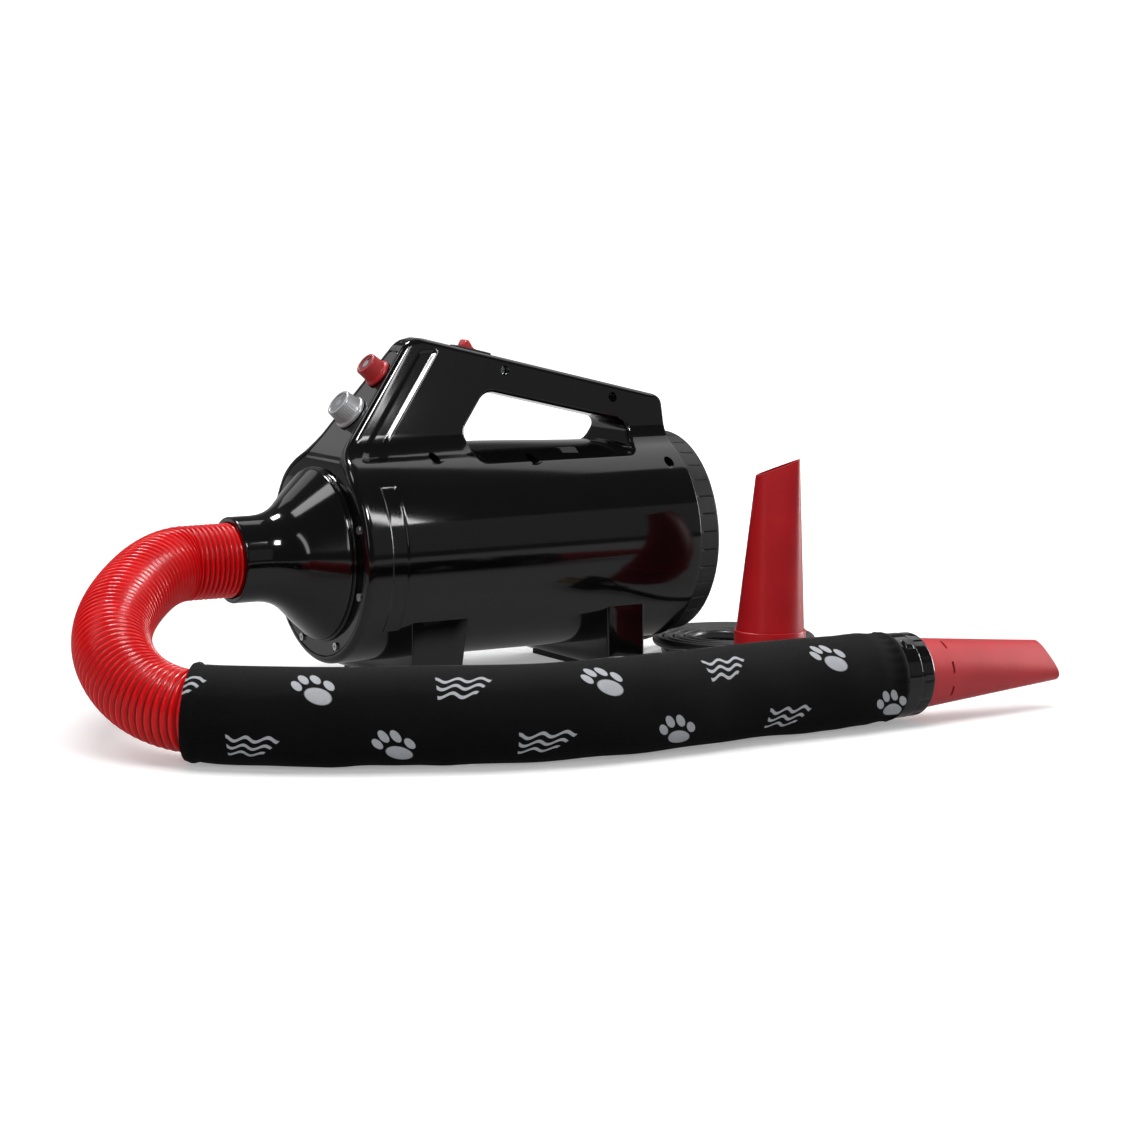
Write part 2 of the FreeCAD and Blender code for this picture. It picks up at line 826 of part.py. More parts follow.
def knob(height, base, top, tall):
    """Turned knob with a base flange, a tapering grip and a sunk face."""
    foot = knob_gap
    profile = [
        (pot_shaft_radius, foot + 5),
        (base - 3.2, foot + 5),
        (base - 3.2, foot),
        (base, foot),
        (base, foot + 2.0),
        (base - 1.4, foot + 3.2),
        (top, tall - 1.0),
        (top - 1.0, tall),
        (top - 2.2, tall),
        (top - 2.8, tall - 0.8),
        (pot_shaft_radius, tall - 0.8),
    ]
    points = [Vector(r, 0, z) for r, z in profile]
    solid = Part.Face(Part.makePolygon(points + points[:1])).revolve(Vector(0, 0, 0), z_axis, 360)
    mark = box(top * 0.4, top - 3.0, -0.5, 0.5, tall - 1.3, tall)
    return on_front(solid.cut(mark), height)


def pot(height, radius):
    """Control body behind the panel with its threaded bush through it."""
    back = -panel_thickness
    body = rod(radius, Vector(0, 0, back - pot_body_depth), Vector(0, 0, back))
    bush = rod(pot_bush_radius, Vector(0, 0, back), Vector(0, 0, knob_gap + 3))
    legs = [box(-radius - 2, 1 - radius, y - 0.5, y + 0.5, back - 4, back - 3) for y in (-3, 0, 3)]
    bore_start = Vector(0, 0, back - pot_body_depth + 2)
    bore = rod(pot_shaft_radius + pot_shaft_play, bore_start, Vector(0, 0, 20))
    return on_front(body.fuse([bush] + legs).cut(bore), height)


def pot_shaft(height, tall):
    start = Vector(0, 0, -panel_thickness - pot_body_depth + 2)
    return on_front(rod(pot_shaft_radius, start, Vector(0, 0, tall - 0.8)), height)


def pot_nut(height):
    corners = []
    for i in range(6):
        angle = math.radians(60 * i)
        corners.append(Vector(6.2 * math.cos(angle), 6.2 * math.sin(angle), 0))
    nut = Part.Face(Part.makePolygon(corners + corners[:1])).extrude(Vector(0, 0, 2.4))
    return on_front(nut.cut(rod(pot_bush_radius, Vector(0, 0, -1), Vector(0, 0, 4))), height)


def inner_section(x0, x1, top_z=None):
    """Slice of the body's hollow, for plates that fill it."""
    top_z = shelf_z if top_z is None else top_z
    return cavity().common(box(x0, x1, -100, 100, 0, top_z))


def motor_bracket():
    """Plate across the hollow that holds the front of the motor, with air holes."""
    plate = inner_section(bracket_x, bracket_x + bracket_thickness)
    cuts = [rod(motor_radius, barrel_front, barrel_rear)]
    circle = (inner_radius + motor_radius) / 2
    for i in range(8):
        angle = math.radians(45 * i)
        y = circle * math.cos(angle)
        z = axis_height + circle * math.sin(angle)
        cuts.append(rod(10, Vector(bracket_x - 1, y, z), Vector(bracket_x + bracket_thickness + 1, y, z)))
    return plate.cut(cuts)


def motor_mount():
    """Rubber ring between the fan housing and the barrel."""
    plate = inner_section(mount_ring_x, mount_ring_x + mount_ring_width)
    return plate.cut(rod(fan_radius, barrel_front, barrel_rear))


def motor_can():
    """Cup round the motor, open to the fan, with the front bearing seat and cooling holes."""
    x0 = motor_front_x
    x1 = fan_front_x
    profile = [
        (x0, bearing_radius),
        (x0, motor_radius),
        (x1, motor_radius),
        (x1, motor_radius - can_wall),
        (x0 + 2.5, motor_radius - can_wall),
        (x0 + 2.5, bearing_radius + 3),
        (x0 + bearing_width + 1, bearing_radius + 3),
        (x0 + bearing_width + 1, bearing_radius),
    ]
    circle = motor_radius - 14
    cuts = []
    for i in range(6):
        angle = math.radians(60 * i + 30)
        y = circle * math.cos(angle)
        z = axis_height + circle * math.sin(angle)
        cuts.append(rod(6, Vector(x0 - 1, y, z), Vector(x0 + 3, y, z)))
    return turned(profile).cut(cuts)


def stator():
    return ring(motor_radius - can_wall, stator_bore, stator_x, stator_x + stator_length)


def field_winding():
    """Coil ends on both sides of the stator."""
    ends = []
    for x in (stator_x - winding_length, stator_x + stator_length):
        ends.append(ring(stator_bore + 15, stator_bore + 2, x, x + winding_length))
    return Part.Compound(ends)


def armature():
    """Stack and windings on the shaft."""
    end = stator_x + stator_length
    profile = [
        (stator_x - 5, shaft_radius),
        (stator_x - 5, 14),
        (stator_x - 1, 21),
        (stator_x, 21),
        (stator_x, stator_bore - rotor_gap),
        (end, stator_bore - rotor_gap),
        (end, 21),
        (end + 1, 21),
        (end + 5, 14),
        (end + 5, shaft_radius),
    ]
    return turned(profile)


def commutator():
    body = ring(commutator_radius, shaft_radius, stator_x - 16, stator_x - 5)
    cuts = []
    for i in range(12):
        angle = math.radians(30 * i)
        cut = box(stator_x - 17, stator_x - 6.5, -0.3, 0.3, commutator_radius - 1, commutator_radius + 1)
        cut.rotate(Vector(0, 0, 0), x_axis, math.degrees(angle))
        cut.translate(axis_point)
        cuts.append(cut)
    return body.cut(cuts)


def rotor_shaft():
    start = Vector(motor_front_x - 2, 0, axis_height)
    end = Vector(fan_front_x + fan_length - 5, 0, axis_height)
    return rod(shaft_radius, start, end)


def bearings():
    shapes = []
    for x in (motor_front_x + 1, fan_front_x - bearing_width):
        shapes.append(ring(bearing_radius, shaft_radius + bearing_play, x, x + bearing_width))
    return shapes


def brush_gear(sign):
    """Carbon brush in its holder, on one side of the commutator."""
    x = stator_x - 13
    near = commutator_radius
    far = motor_radius - can_wall
    holder = box(x - 4.5, x + 4.5, -6, 6, near + 3, far)
    slot = box(x - 3, x + 3, -3.5, 3.5, near - 1, far - 5)
    brush = box(x - 3, x + 3, -3.5, 3.5, near + fit_gap, near + 20)
    shapes = [holder.cut(slot), brush]
    round_inside = rod(far, Vector(0, 0, 0), Vector(100, 0, 0))
    shapes[0] = shapes[0].common(round_inside)
    for shape in shapes:
        if sign < 0:
            shape.rotate(Vector(0, 0, 0), x_axis, 180)
        shape.translate(axis_point)
    return shapes


def fan_housing():
    """Tin round the two fans, with the eye behind and outlets round the motor."""
    x0 = fan_front_x
    x1 = fan_front_x + fan_length
    t = fan_wall
    profile = [
        (x0 - bearing_width - 1, bearing_radius),
        (x0 - bearing_width - 1, bearing_radius + 3),
        (x0, bearing_radius + 3),
        (x0, fan_radius),
        (x1, fan_radius),
        (x1, fan_eye_radius),
        (x1 - t, fan_eye_radius),
        (x1 - t, fan_radius - t),
        (x0 + t, fan_radius - t),
        (x0 + t, shaft_radius + 1),
        (x0, shaft_radius + 1),
        (x0, bearing_radius),
    ]
    circle = fan_radius - 9
    cuts = []
    for i in range(12):
        angle = math.radians(30 * i)
        y = circle * math.cos(angle)
        z = axis_height + circle * math.sin(angle)
        cuts.append(rod(5.5, Vector(x0 - 1, y, z), Vector(x0 + 3, y, z)))
    return turned(profile).cut(cuts)


def impeller(x):
    """Fan wheel: back plate, bent blades and a front ring, on the shaft."""
    back = ring(impeller_radius, shaft_radius, x, x + 1.2)
    hub = ring(9, shaft_radius, x + 1.2, x + impeller_width - 5)
    front = ring(impeller_radius, fan_eye_radius - 3, x + impeller_width - 1.2, x + impeller_width)
    inner = Vector(x + 1.2, 20, 0)
    middle = Vector(x + 1.2, 38, -9)
    outer = Vector(x + 1.2, 50, -27)
    shift = Vector(0, 1.4, 0)
    edges = [
        Part.Arc(inner, middle, outer).toShape(),
        Part.makeLine(outer, outer + shift),
        Part.Arc(outer + shift, middle + shift, inner + shift).toShape(),
        Part.makeLine(inner + shift, inner),
    ]
    blades = []
    for i in range(impeller_blades):
        blade = Part.Face(Part.Wire(edges)).extrude(Vector(impeller_width - 2.4, 0, 0))
        blade.rotate(Vector(0, 0, 0), x_axis, 360.0 / impeller_blades * i)
        blade.translate(axis_point)
        blades.append(blade)
    return back.fuse([hub, front] + blades)


def diffuser():
    """Fixed plate between the wheels that turns the air back to the centre."""
    x = diffuser_x
    plate = ring(fan_radius - fan_wall, 16, x, x + 2)
    vanes = []
    for i in range(8):
        vane = box(x - 5, x, -0.8, 0.8, 20, 55)
        vane.rotate(Vector(0, 0, 38), x_axis, 35)
        vane.rotate(Vector(0, 0, 0), x_axis, 45 * i)
        vane.translate(axis_point)
        vanes.append(vane)
    return plate.fuse(vanes)


def heater_frame():
    """Plate across the hollow that carries the heater."""
    plate = inner_section(heater_x, heater_x + heater_plate)
    half_y = heater_width / 2 - 4
    half_z = heater_height / 2 - 4
    window = box(heater_x - 1, heater_x + 10, -half_y, half_y, axis_height - half_z, axis_height + half_z)
    return plate.cut(window)


def heater():
    """Heating block with its air slots."""
    half_y = heater_width / 2
    half_z = heater_height / 2
    x0 = heater_x - heater_depth
    block = box(x0, heater_x, -half_y, half_y, axis_height - half_z, axis_height + half_z)
    cuts = []
    pitch = (heater_width - 8) / heater_slots
    for i in range(heater_slots):
        y = -half_y + 4 + pitch * (i + 0.5)
        cuts.append(box(x0 - 1, heater_x + 1, y - pitch / 2 + 1, y + pitch / 2 - 1,
                        axis_height - half_z + 5, axis_height + half_z - 5))
    return block.cut(cuts)


def control_board():
    """Board that lies on the tops of the heater frame and the motor bracket."""
    x1 = bracket_x + bracket_thickness
    half = board_width / 2
    return box(heater_x, x1, -half, half, shelf_z, shelf_z + board_thickness)


def heat_sink():
    z = shelf_z + board_thickness
    base = box(-4, 26, -12, 12, z, z + 3)
    fins = [box(-4, 26, y - 0.75, y + 0.75, z + 3, z + 16) for y in (-10, -5, 0, 5, 10)]
    return base.fuse(fins)


def filter_basket():
    """Ring that slides into the rear of the barrel and carries the foam."""
    x0 = basket_x
    x1 = basket_x + basket_length
    profile = [
        (x0, basket_flange_radius - 9),
        (x0, basket_flange_radius),
        (x0 + 4, basket_flange_radius),
        (x0 + 4, basket_tube_radius),
        (x1, basket_tube_radius),
        (x1, basket_tube_radius - basket_wall),
        (x0 + 2, basket_tube_radius - basket_wall),
        (x0 + 2, basket_flange_radius - 9),
    ]
    spokes = []
    for i in range(4):
        spoke = box(x0, x0 + 2, -1.5, 1.5, -(basket_flange_radius - 8), basket_flange_radius - 8)
        spoke.rotate(Vector(0, 0, 0), x_axis, 45 * i)
        spoke.translate(axis_point)
        spokes.append(spoke)
    return turned(profile).fuse(spokes)


def filter_foam():
    start = Vector(basket_x + 2, 0, axis_height)
    end = Vector(basket_x + basket_length - 1, 0, axis_height)
    return rod(basket_tube_radius - basket_wall, start, end)


def rear_cover():
    """Grooved ring behind the barrel that holds the grille."""
    x0 = rear_x
    x1 = rear_x + cover_length
    fit = basket_tube_radius + 0.05
    outline = [
        Vector(x0, 0, fit),
        Vector(x0, 0, cover_front_radius),
        Vector(x1 - 4, 0, cover_rear_radius + 0.4),
        Vector(x1, 0, cover_rear_radius),
        Vector(x1, 0, cover_rear_radius - cover_wall),
        Vector(x1 - grille_inset - grille_thickness, 0, cover_rear_radius - cover_wall),
        Vector(x1 - grille_inset - grille_thickness, 0, fit),
    ]
    face = Part.Face(rounded(outline, [0, 0.6, 0, 2.4, 0.6, 0, 0]))
    face.translate(Vector(0, 0, axis_height))
    body = face.revolve(axis_point, x_axis, 360)
    groove_floor = cover_rear_radius - groove_depth + 1
    cuts = []
    for i in range(cover_grooves):
        half = groove_width / 2
        cut = box(x0 + 3, x1 - 4, -half, half, groove_floor, cover_front_radius + 7)
        cut.rotate(Vector(0, 0, 0), x_axis, 360.0 / cover_grooves * i)
        cut.translate(axis_point)
        cuts.append(cut)
    return body.cut(cuts)


def arc_slot(inner, outer, angle, half_angle, x):
    """Outline of one opening of the grille, between two radii and two spokes."""
    def spot(radius, turn):
        return Vector(x, radius * math.sin(turn), axis_height + radius * math.cos(turn))

    low = angle - half_angle
    high = angle + half_angle
    return Part.Wire([
        Part.Arc(spot(inner, low), spot(inner, angle), spot(inner, high)).toShape(),
        Part.makeLine(spot(inner, high), spot(outer, high)),
        Part.Arc(spot(outer, high), spot(outer, angle), spot(outer, low)).toShape(),
        Part.makeLine(spot(outer, low), spot(inner, low)),
    ])


def rear_grille():
    """Disc behind the foam, pierced between its rings and spokes."""
    x1 = rear_x + cover_length - grille_inset
    x0 = x1 - grille_thickness
    outer = cover_rear_radius - cover_wall
    disc = rod(outer, Vector(x0, 0, axis_height), Vector(x1, 0, axis_height))
    holes = []
    for inner, far in grille_rows:
        for i in range(grille_spokes):
            angle = 2 * math.pi * (i + 0.5) / grille_spokes
            half_angle = math.pi / grille_spokes - 1.4 / inner
            face = Part.Face(arc_slot(inner, far, angle, half_angle, x0 - 1))
            holes.append(face.extrude(Vector(grille_thickness + 2, 0, 0)))
    return disc.cut(holes)


def hose(route):
    """Ribbed hose with its bore: ribs on the open stretch, plain in its seats and under the sleeve."""
    first = socket_depth
    last = sleeve_start + 6
    pitch = (last - first) / hose_ribs
    stations = [(0.0, socket_radius), (first, socket_radius)]
    for i in range(hose_ribs):
        start = first + pitch * i
        stations.append((start + pitch * 0.12, hose_root_radius))
        stations.append((start + pitch * 0.38, hose_root_radius))
        stations.append((start + pitch * 0.58, hose_radius))
        stations.append((start + pitch * 0.92, hose_radius))
    stations.append((last + 1.5, hose_root_radius))
    rings = []
    for distance, radius in stations:
        point, heading = route.at(distance)
        rings.append(round_wire(radius, point, heading))
    ribbed = Part.makeLoft(rings, True, True)
    end = stations[-1][0]
    point, heading = route.at(end)
    rest = tube(route.wire(end), point, heading, hose_root_radius)
    point, heading = route.at(0)
    bore = tube(route.wire(), point, heading, hose_bore_radius)
    return ribbed.fuse(rest).cut(bore)


def on_connector(profile):
    """Revolve points given as (x, radius) about the line of the connector."""
    points = [Vector(x, cuff_y, cuff_z + r) for x, r in profile]
    face = Part.Face(Part.makePolygon(points + points[:1]))
    return face.revolve(Vector(0, cuff_y, cuff_z), x_axis, 360)


def hose_sleeve(route):
    """Cloth sleeve over the hose, drawn in onto the cuff at its far end."""
    point, heading = route.at(sleeve_start)
    cloth = tube(route.wire(sleeve_start), point, heading, sleeve_outer_radius, sleeve_inner_radius)
    x0 = hose_route[-1][0]
    end = on_connector([
        (x0, sleeve_inner_radius),
        (x0, sleeve_outer_radius),
        (sleeve_end_x - 5, sleeve_outer_radius),
        (sleeve_end_x - 1, sleeve_outer_radius - 1.0),
        (sleeve_end_x, sleeve_outer_radius - 2.2),
        (sleeve_end_x, cuff_radius),
        (sleeve_end_x - 14, cuff_radius),
        (sleeve_end_x - 16, sleeve_inner_radius),
    ])
    return cloth.fuse(end)


def hose_cuff():
    """Moulded cuff on the hose end, with the chamber that the collar turns in."""
    end = hose_route[-1][0]
    body = on_connector([
        (cuff_start_x, hose_root_radius),
        (cuff_start_x, cuff_radius - 2.5),
        (cuff_start_x + 10, cuff_radius),
        (cuff_end_x - 1, cuff_radius),
        (cuff_end_x, cuff_radius - 0.7),
        (cuff_end_x, swivel_radius),
        (end + cuff_web, swivel_radius),
        (end + cuff_web, hose_bore_radius),
        (end, hose_bore_radius),
        (end, hose_root_radius),
    ])
    lug = box(cuff_end_x - 10, cuff_end_x - 2, -5, 5, cuff_radius - 0.5, cuff_radius + 1.6)
    lug = lug.makeFillet(0.7, [e for e in lug.Edges if e.CenterOfMass.z > cuff_radius + 1.5])
    lug.rotate(Vector(0, 0, 0), x_axis, 35)
    lug.translate(Vector(0, cuff_y, cuff_z))
    return body.fuse(lug)


def swivel_collar():
    """Collar that turns in the cuff and grips the nozzle."""
    start = hose_route[-1][0] + cuff_web
    bore = nozzle_cuff_radius + nozzle_play
    snap = swivel_radius - swivel_play
    body = on_connector([
        (start, bore),
        (start, snap),
        (start + 3, snap),
        (start + 4, collar_neck_radius),
        (cuff_end_x - 4, collar_neck_radius),
        (cuff_end_x - 3, snap),
        (cuff_end_x, snap),
        (cuff_end_x, collar_radius - 0.6),
        (cuff_end_x + 0.6, collar_radius),
        (collar_end_x - 1.5, collar_radius),
        (collar_end_x, collar_radius - 1.5),
        (collar_end_x, bore),
    ])
    cuts = []
    for i in range(collar_grips):
        cut = box(cuff_end_x + 2, collar_end_x - 2.5, -1, 1, collar_radius - 0.7, collar_radius + 2)
        cut.rotate(Vector(0, 0, 0), x_axis, 360.0 / collar_grips * i)
        cut.translate(Vector(0, cuff_y, cuff_z))
        cuts.append(cut)
    return body.cut(cuts)


def flat_section(half_x, half_y, power, z):
    """Closed curve between a circle and a flat oval, at a height."""
    points = []
    for i in range(24):
        turn = 2 * math.pi * i / 24
        c = math.cos(turn)
        s = math.sin(turn)
        x = math.copysign(abs(c) ** (2 / power), c) * half_x
        y = math.copysign(abs(s) ** (2 / power), s) * half_y
        points.append(Vector(x, y, z))
    curve = Part.BSplineCurve()
    curve.interpolate(Points=points, PeriodicFlag=True)
    return Part.Wire(curve.toShape())


def nozzle_funnel(inset):
    """Funnel from the round step to the flat mouth, drawn a little past the mouth."""
    low = nozzle_step_radius - inset
    start = flat_section(low, low, 2, nozzle_cuff_length - 3.5)
    half_x = nozzle_mouth_half_width - inset
    half_y = nozzle_mouth_half_depth - inset
    end = flat_section(half_x, half_y, 3, nozzle_length + nozzle_slant)
    return Part.makeLoft([start, end], True, True)


def nozzle():
    """Blow nozzle drawn along Z: cuff, step, funnel with its row of slots, slanted flat mouth."""
    inner = nozzle_cuff_radius - nozzle_wall
    cuff = rod(nozzle_cuff_radius, Vector(0, 0, 0), Vector(0, 0, nozzle_cuff_length))
    cuff = cuff.makeChamfer(0.7, [e for e in cuff.Edges if e.Closed])
    outer = cuff.fuse(nozzle_funnel(0))
    wide = rod(inner, Vector(0, 0, -1), Vector(0, 0, nozzle_cuff_length - 3))
    lean = math.degrees(math.atan2(nozzle_slant, 2 * nozzle_mouth_half_width))
    top = Part.makeBox(200, 200, 60, Vector(-100, -100, 0))
    top.rotate(Vector(0, 0, 0), y_axis, -lean)
    top.translate(Vector(0, 0, nozzle_length))
    slots = []
    z = nozzle_cuff_length + nozzle_slot_from_cuff
    for i in range(nozzle_slots):
        half = nozzle_slot_length / 2
        slot = box(10, 40, -half, half, z, z + nozzle_slot_width)
        slot.rotate(Vector(0, 0, 0), z_axis, 360.0 / nozzle_slots * (i + 0.5))
        slots.append(slot)
    return outer.cut([wide, nozzle_funnel(nozzle_wall), top] + slots)


def fitted_nozzle():
    shape = nozzle()
    shape.rotate(Vector(0, 0, 0), y_axis, 90)
    shape.rotate(Vector(0, 0, 0), x_axis, -nozzle_roll)
    shape.translate(Vector(collar_end_x - nozzle_cuff_length, cuff_y, cuff_z))
    return shape


def spare_nozzle():
    shape = nozzle()
    shape.rotate(Vector(0, 0, 0), z_axis, spare_heading)
    shape.translate(Vector(spare_x, spare_y, 0))
    return shape


def cord_gland():
    """Strain relief on the rear foot, ringed so that it can bend."""
    face_x = rear_foot_x + rear_foot_half_length
    profile = [
        (face_x - foot_wall - pad_inset, cord_radius),
        (face_x - foot_wall - pad_inset, gland_tip_radius),
        (face_x, gland_tip_radius),
        (face_x, gland_radius),
        (face_x + gland_flange, gland_radius),
    ]
    count = 7
    start = face_x + gland_flange
    step = (face_x + gland_length - start) / count
    for i in range(count):
        radius = gland_radius - 0.3 - (gland_radius - gland_tip_radius) * (i + 1) / count
        profile.append((start + step * i, radius - 0.7))
        profile.append((start + step * (i + 0.35), radius - 0.7))
        profile.append((start + step * (i + 0.35), radius))
        profile.append((start + step * (i + 1), radius))
    profile.append((face_x + gland_length, cord_radius))
    points = [Vector(x, gland_y, gland_z + r) for x, r in profile]
    face = Part.Face(Part.makePolygon(points + points[:1]))
    return face.revolve(Vector(0, gland_y, gland_z), x_axis, 360)


def power_cord():
    """Free stretch of the mains lead, from inside the gland to the coil."""
    route = Route(cord_route)
    print("lead bends", [round(bend, 1) for bend in route.bends])
    point, heading = route.at(0)
    cord = tube(route.wire(), point, heading, cord_radius)
    print("lead stretch", round(route.length), "mm, volume share",
          round(cord.Volume / (math.pi * cord_radius ** 2 * route.length), 4))
    return cord, route.length


def coil_state(turns):
    """Radius and height of the coil's centre line after a number of turns."""
    top_z = cord_route[-1][2]
    inner = coil_outer_radius - coil_pitch * coil_turns
    if turns <= coil_turns:
        return coil_outer_radius - coil_pitch * turns, top_z
    if turns <= coil_turns + 0.5:
        share = (turns - coil_turns) / 0.5
        return (inner - coil_dip * math.sin(math.pi * share),
                top_z + (coil_low_z - top_z) * (1 - math.cos(math.pi * share)) / 2)
    return inner + coil_pitch * (turns - coil_turns - 0.5), coil_low_z


def coil_point(turns):
    radius, z = coil_state(turns)
    angle = 2 * math.pi * turns
    return Vector(coil_x + radius * math.sin(angle), coil_y + radius * math.cos(angle), z)


def coil_heading(turns):
    step = 1e-4
    ahead = coil_point(turns + step) - coil_point(turns - step)
    return ahead.normalize()


def two_arcs(start, start_way, end, end_way):
    """Two arcs that leave one point and reach another in given directions."""
    gap = end - start
    lean = start_way + end_way
    a = lean.dot(lean) - 4
    b = -2 * gap.dot(lean)
    reach = (-b - math.sqrt(b * b - 4 * a * gap.dot(gap))) / (2 * a)
    first = start + start_way * reach
    second = end - end_way * reach
    joint = (first + second) * 0.5

    def arc(p, way, q):
        chord = q - p
        side = chord - way * chord.dot(way)
        if side.Length < 1e-7:
            return Part.LineSegment(p, q).toShape()
        side.normalize()
        radius = chord.dot(chord) / (2 * chord.dot(side))
        centre = p + side * radius
        middle = centre + ((p - centre) + (q - centre)).normalize() * abs(radius)
        return Part.Arc(p, middle, q).toShape()

    return [arc(start, start_way, joint), arc(joint, (joint - first).normalize(), end)]


def cord_coil():
    """The coiled rest of the lead in two layers, with its tail to the plug."""
    last = coil_turns * 2 - 0.5
    stops = [i / 4 for i in range(int(last * 4) + 1)]
    edges = []
    ends = {0: x_axis, len(stops) - 1: -x_axis}
    ways = [ends.get(i, coil_heading(t)) for i, t in enumerate(stops)]
    for i in range(len(stops) - 1):
        edges += two_arcs(coil_point(stops[i]), ways[i], coil_point(stops[i + 1]), ways[i + 1])
    coil_length = sum(edge.Length for edge in edges)
    tail = Route(tail_route)
    print("tail bends", [round(bend, 1) for bend in tail.bends])
    edges += tail.wire().Edges
    wire = Part.Wire(edges)
    cord = tube(wire, coil_point(0), x_axis, cord_radius)
    length = coil_length + tail.length
    print("coil", round(length), "mm, volume share",
          round(cord.Volume / (math.pi * cord_radius ** 2 * length), 4))
    print("least gap in the coil", round(least_gap(wire), 2))
    return cord, length


def least_gap(wire):
    """Smallest clear space between turns, measured on points along the coil."""
    step = 3.0
    points = wire.discretize(Distance=step)
    apart = int(6 * cord_radius / step)
    best = 1e9
    for i, p in enumerate(points):
        for q in points[i + apart:]:
            if abs(p.x - q.x) < 12 and abs(p.y - q.y) < 12:
                best = min(best, (p - q).Length)
    return best - 2 * cord_radius


def plug():
    """Moulded plug at the end of the lead, with its three pins."""
    def section(half_x, half_y, radius, z):
        points = [Vector(-half_x, -half_y, z), Vector(half_x, -half_y, z),
                  Vector(half_x, half_y, z), Vector(-half_x, half_y, z)]
        return rounded(points, [radius] * 4)

    neck = plug_length - plug_face_length
    body = Part.makeLoft([
        section(cord_radius + 1.4, cord_radius + 1.4, 4, 0),
        section(cord_radius + 2.6, cord_radius + 2.6, 4, neck * 0.55),
        section(plug_half_width - 0.5, plug_half_height - 0.5, 4, neck),
        section(plug_half_width, plug_half_height, 4, neck + 3),
        section(plug_half_width, plug_half_height, 4, plug_length),
    ], True, True)
    slots = [box(-20, 20, -20, 20, 4 + 3.2 * i, 5.2 + 3.2 * i) for i in range(3)]
    core = rod(cord_radius + 0.6, Vector(0, 0, 0), Vector(0, 0, neck * 0.55))
    body = body.cut(slots).fuse(core)
    front = plug_length
    blades = [box(x - 0.8, x + 0.8, -3.2, 3.2, front, front + pin_length)
              for x in (-pin_spacing / 2, pin_spacing / 2)]
    earth = rod(2.4, Vector(0, -8, front), Vector(0, -8, front + pin_length + 2))
    pins = Part.Compound(blades + [earth])
    route = Route(tail_route)
    spot, way = route.at(route.length)
    flat = Vector(way.x, way.y, 0).normalize()
    side = Vector(-flat.y, flat.x, 0)
    turn = FreeCAD.Rotation(side, Vector(0, 0, 1), way, "ZXY")
    for shape in (body, pins):
        shape.Placement = FreeCAD.Placement(spot, turn)
    return body, pins


case = housing()
left = case.common(box(-200, 300, -200, split_y, -10, 320))
right = case.common(box(-200, 300, split_y, 200, -10, 320))
save("housing_left", left)
save("housing_right", right)
save("case_screws", case_screws())
save("front_panel", front_panel())
save("panel_screws", panel_screws())
save("outlet_cone", outlet_cone())
save("front_foot_pad", pad(0))
save("rear_foot_pad", pad(1))

controls = [
    ("speed", speed_knob_z, speed_knob_base, speed_knob_top, speed_knob_height, speed_pot_radius),
    ("heat", heat_knob_z, heat_knob_base, heat_knob_top, heat_knob_height, heat_pot_radius),
]
for name, height, base, top, tall, radius in controls:
    save(name + "_knob", knob(height, base, top, tall))
    save(name + "_control", pot(height, radius))
    save(name + "_shaft", pot_shaft(height, tall))
    save(name + "_nut", pot_nut(height))
save("power_switch", power_switch())
save("power_rocker", rocker())

save("motor_bracket", motor_bracket())
save("motor_mount", motor_mount())
save("motor_can", motor_can())
save("stator", stator())
save("field_winding", field_winding())
save("armature", armature())
save("commutator", commutator())
save("rotor_shaft", rotor_shaft())
front_bearing, rear_bearing = bearings()
save("front_bearing", front_bearing)
save("rear_bearing", rear_bearing)
holders = []
brushes = []
for sign in (1, -1):
    holder, brush = brush_gear(sign)
    holders.append(holder)
    brushes.append(brush)
save("brush_holders", Part.Compound(holders))
save("brushes", Part.Compound(brushes))
save("fan_housing", fan_housing())
save("front_impeller", impeller(front_impeller_x))
save("rear_impeller", impeller(rear_impeller_x))
save("diffuser", diffuser())
save("heater_frame", heater_frame())
save("heater", heater())
save("control_board", control_board())
save("heat_sink", heat_sink())

save("filter_basket", filter_basket())
save("filter_foam", filter_foam())
save("rear_cover", rear_cover())
save("rear_grille", rear_grille())

hose_line = Route(hose_route)
print("hose bends", [round(bend) for bend in hose_line.bends], "length", round(hose_line.length))
save("hose", hose(hose_line))
save("hose_sleeve", hose_sleeve(hose_line))
save("hose_cuff", hose_cuff())
save("swivel_collar", swivel_collar())
save("nozzle", fitted_nozzle())
save("spare_nozzle", spare_nozzle())

save("cord_gland", cord_gland())
cord, cord_length = power_cord()
save("power_cord", cord)
coil, coil_length = cord_coil()
save("cord_coil", coil)
plug_body, plug_pins = plug()
save("plug", plug_body)
save("plug_pins", plug_pins)
print("mains lead", round(cord_length + coil_length), "mm in all")
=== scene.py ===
import math

import bpy
import bmesh
import numpy as np
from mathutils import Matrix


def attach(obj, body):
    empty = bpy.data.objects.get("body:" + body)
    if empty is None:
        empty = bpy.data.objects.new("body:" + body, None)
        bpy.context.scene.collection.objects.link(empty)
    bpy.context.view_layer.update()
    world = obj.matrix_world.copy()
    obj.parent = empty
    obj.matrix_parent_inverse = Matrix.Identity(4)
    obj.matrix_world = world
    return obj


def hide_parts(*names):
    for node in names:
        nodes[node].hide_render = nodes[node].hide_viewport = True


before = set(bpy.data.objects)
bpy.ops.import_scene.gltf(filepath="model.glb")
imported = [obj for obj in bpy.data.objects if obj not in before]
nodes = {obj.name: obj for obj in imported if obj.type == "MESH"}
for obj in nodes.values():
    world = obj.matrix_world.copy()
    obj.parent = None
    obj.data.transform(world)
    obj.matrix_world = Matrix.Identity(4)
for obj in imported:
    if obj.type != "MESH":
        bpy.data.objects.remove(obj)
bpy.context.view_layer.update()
mm = 0.001
print("frame loaded with", len(nodes), "nodes")

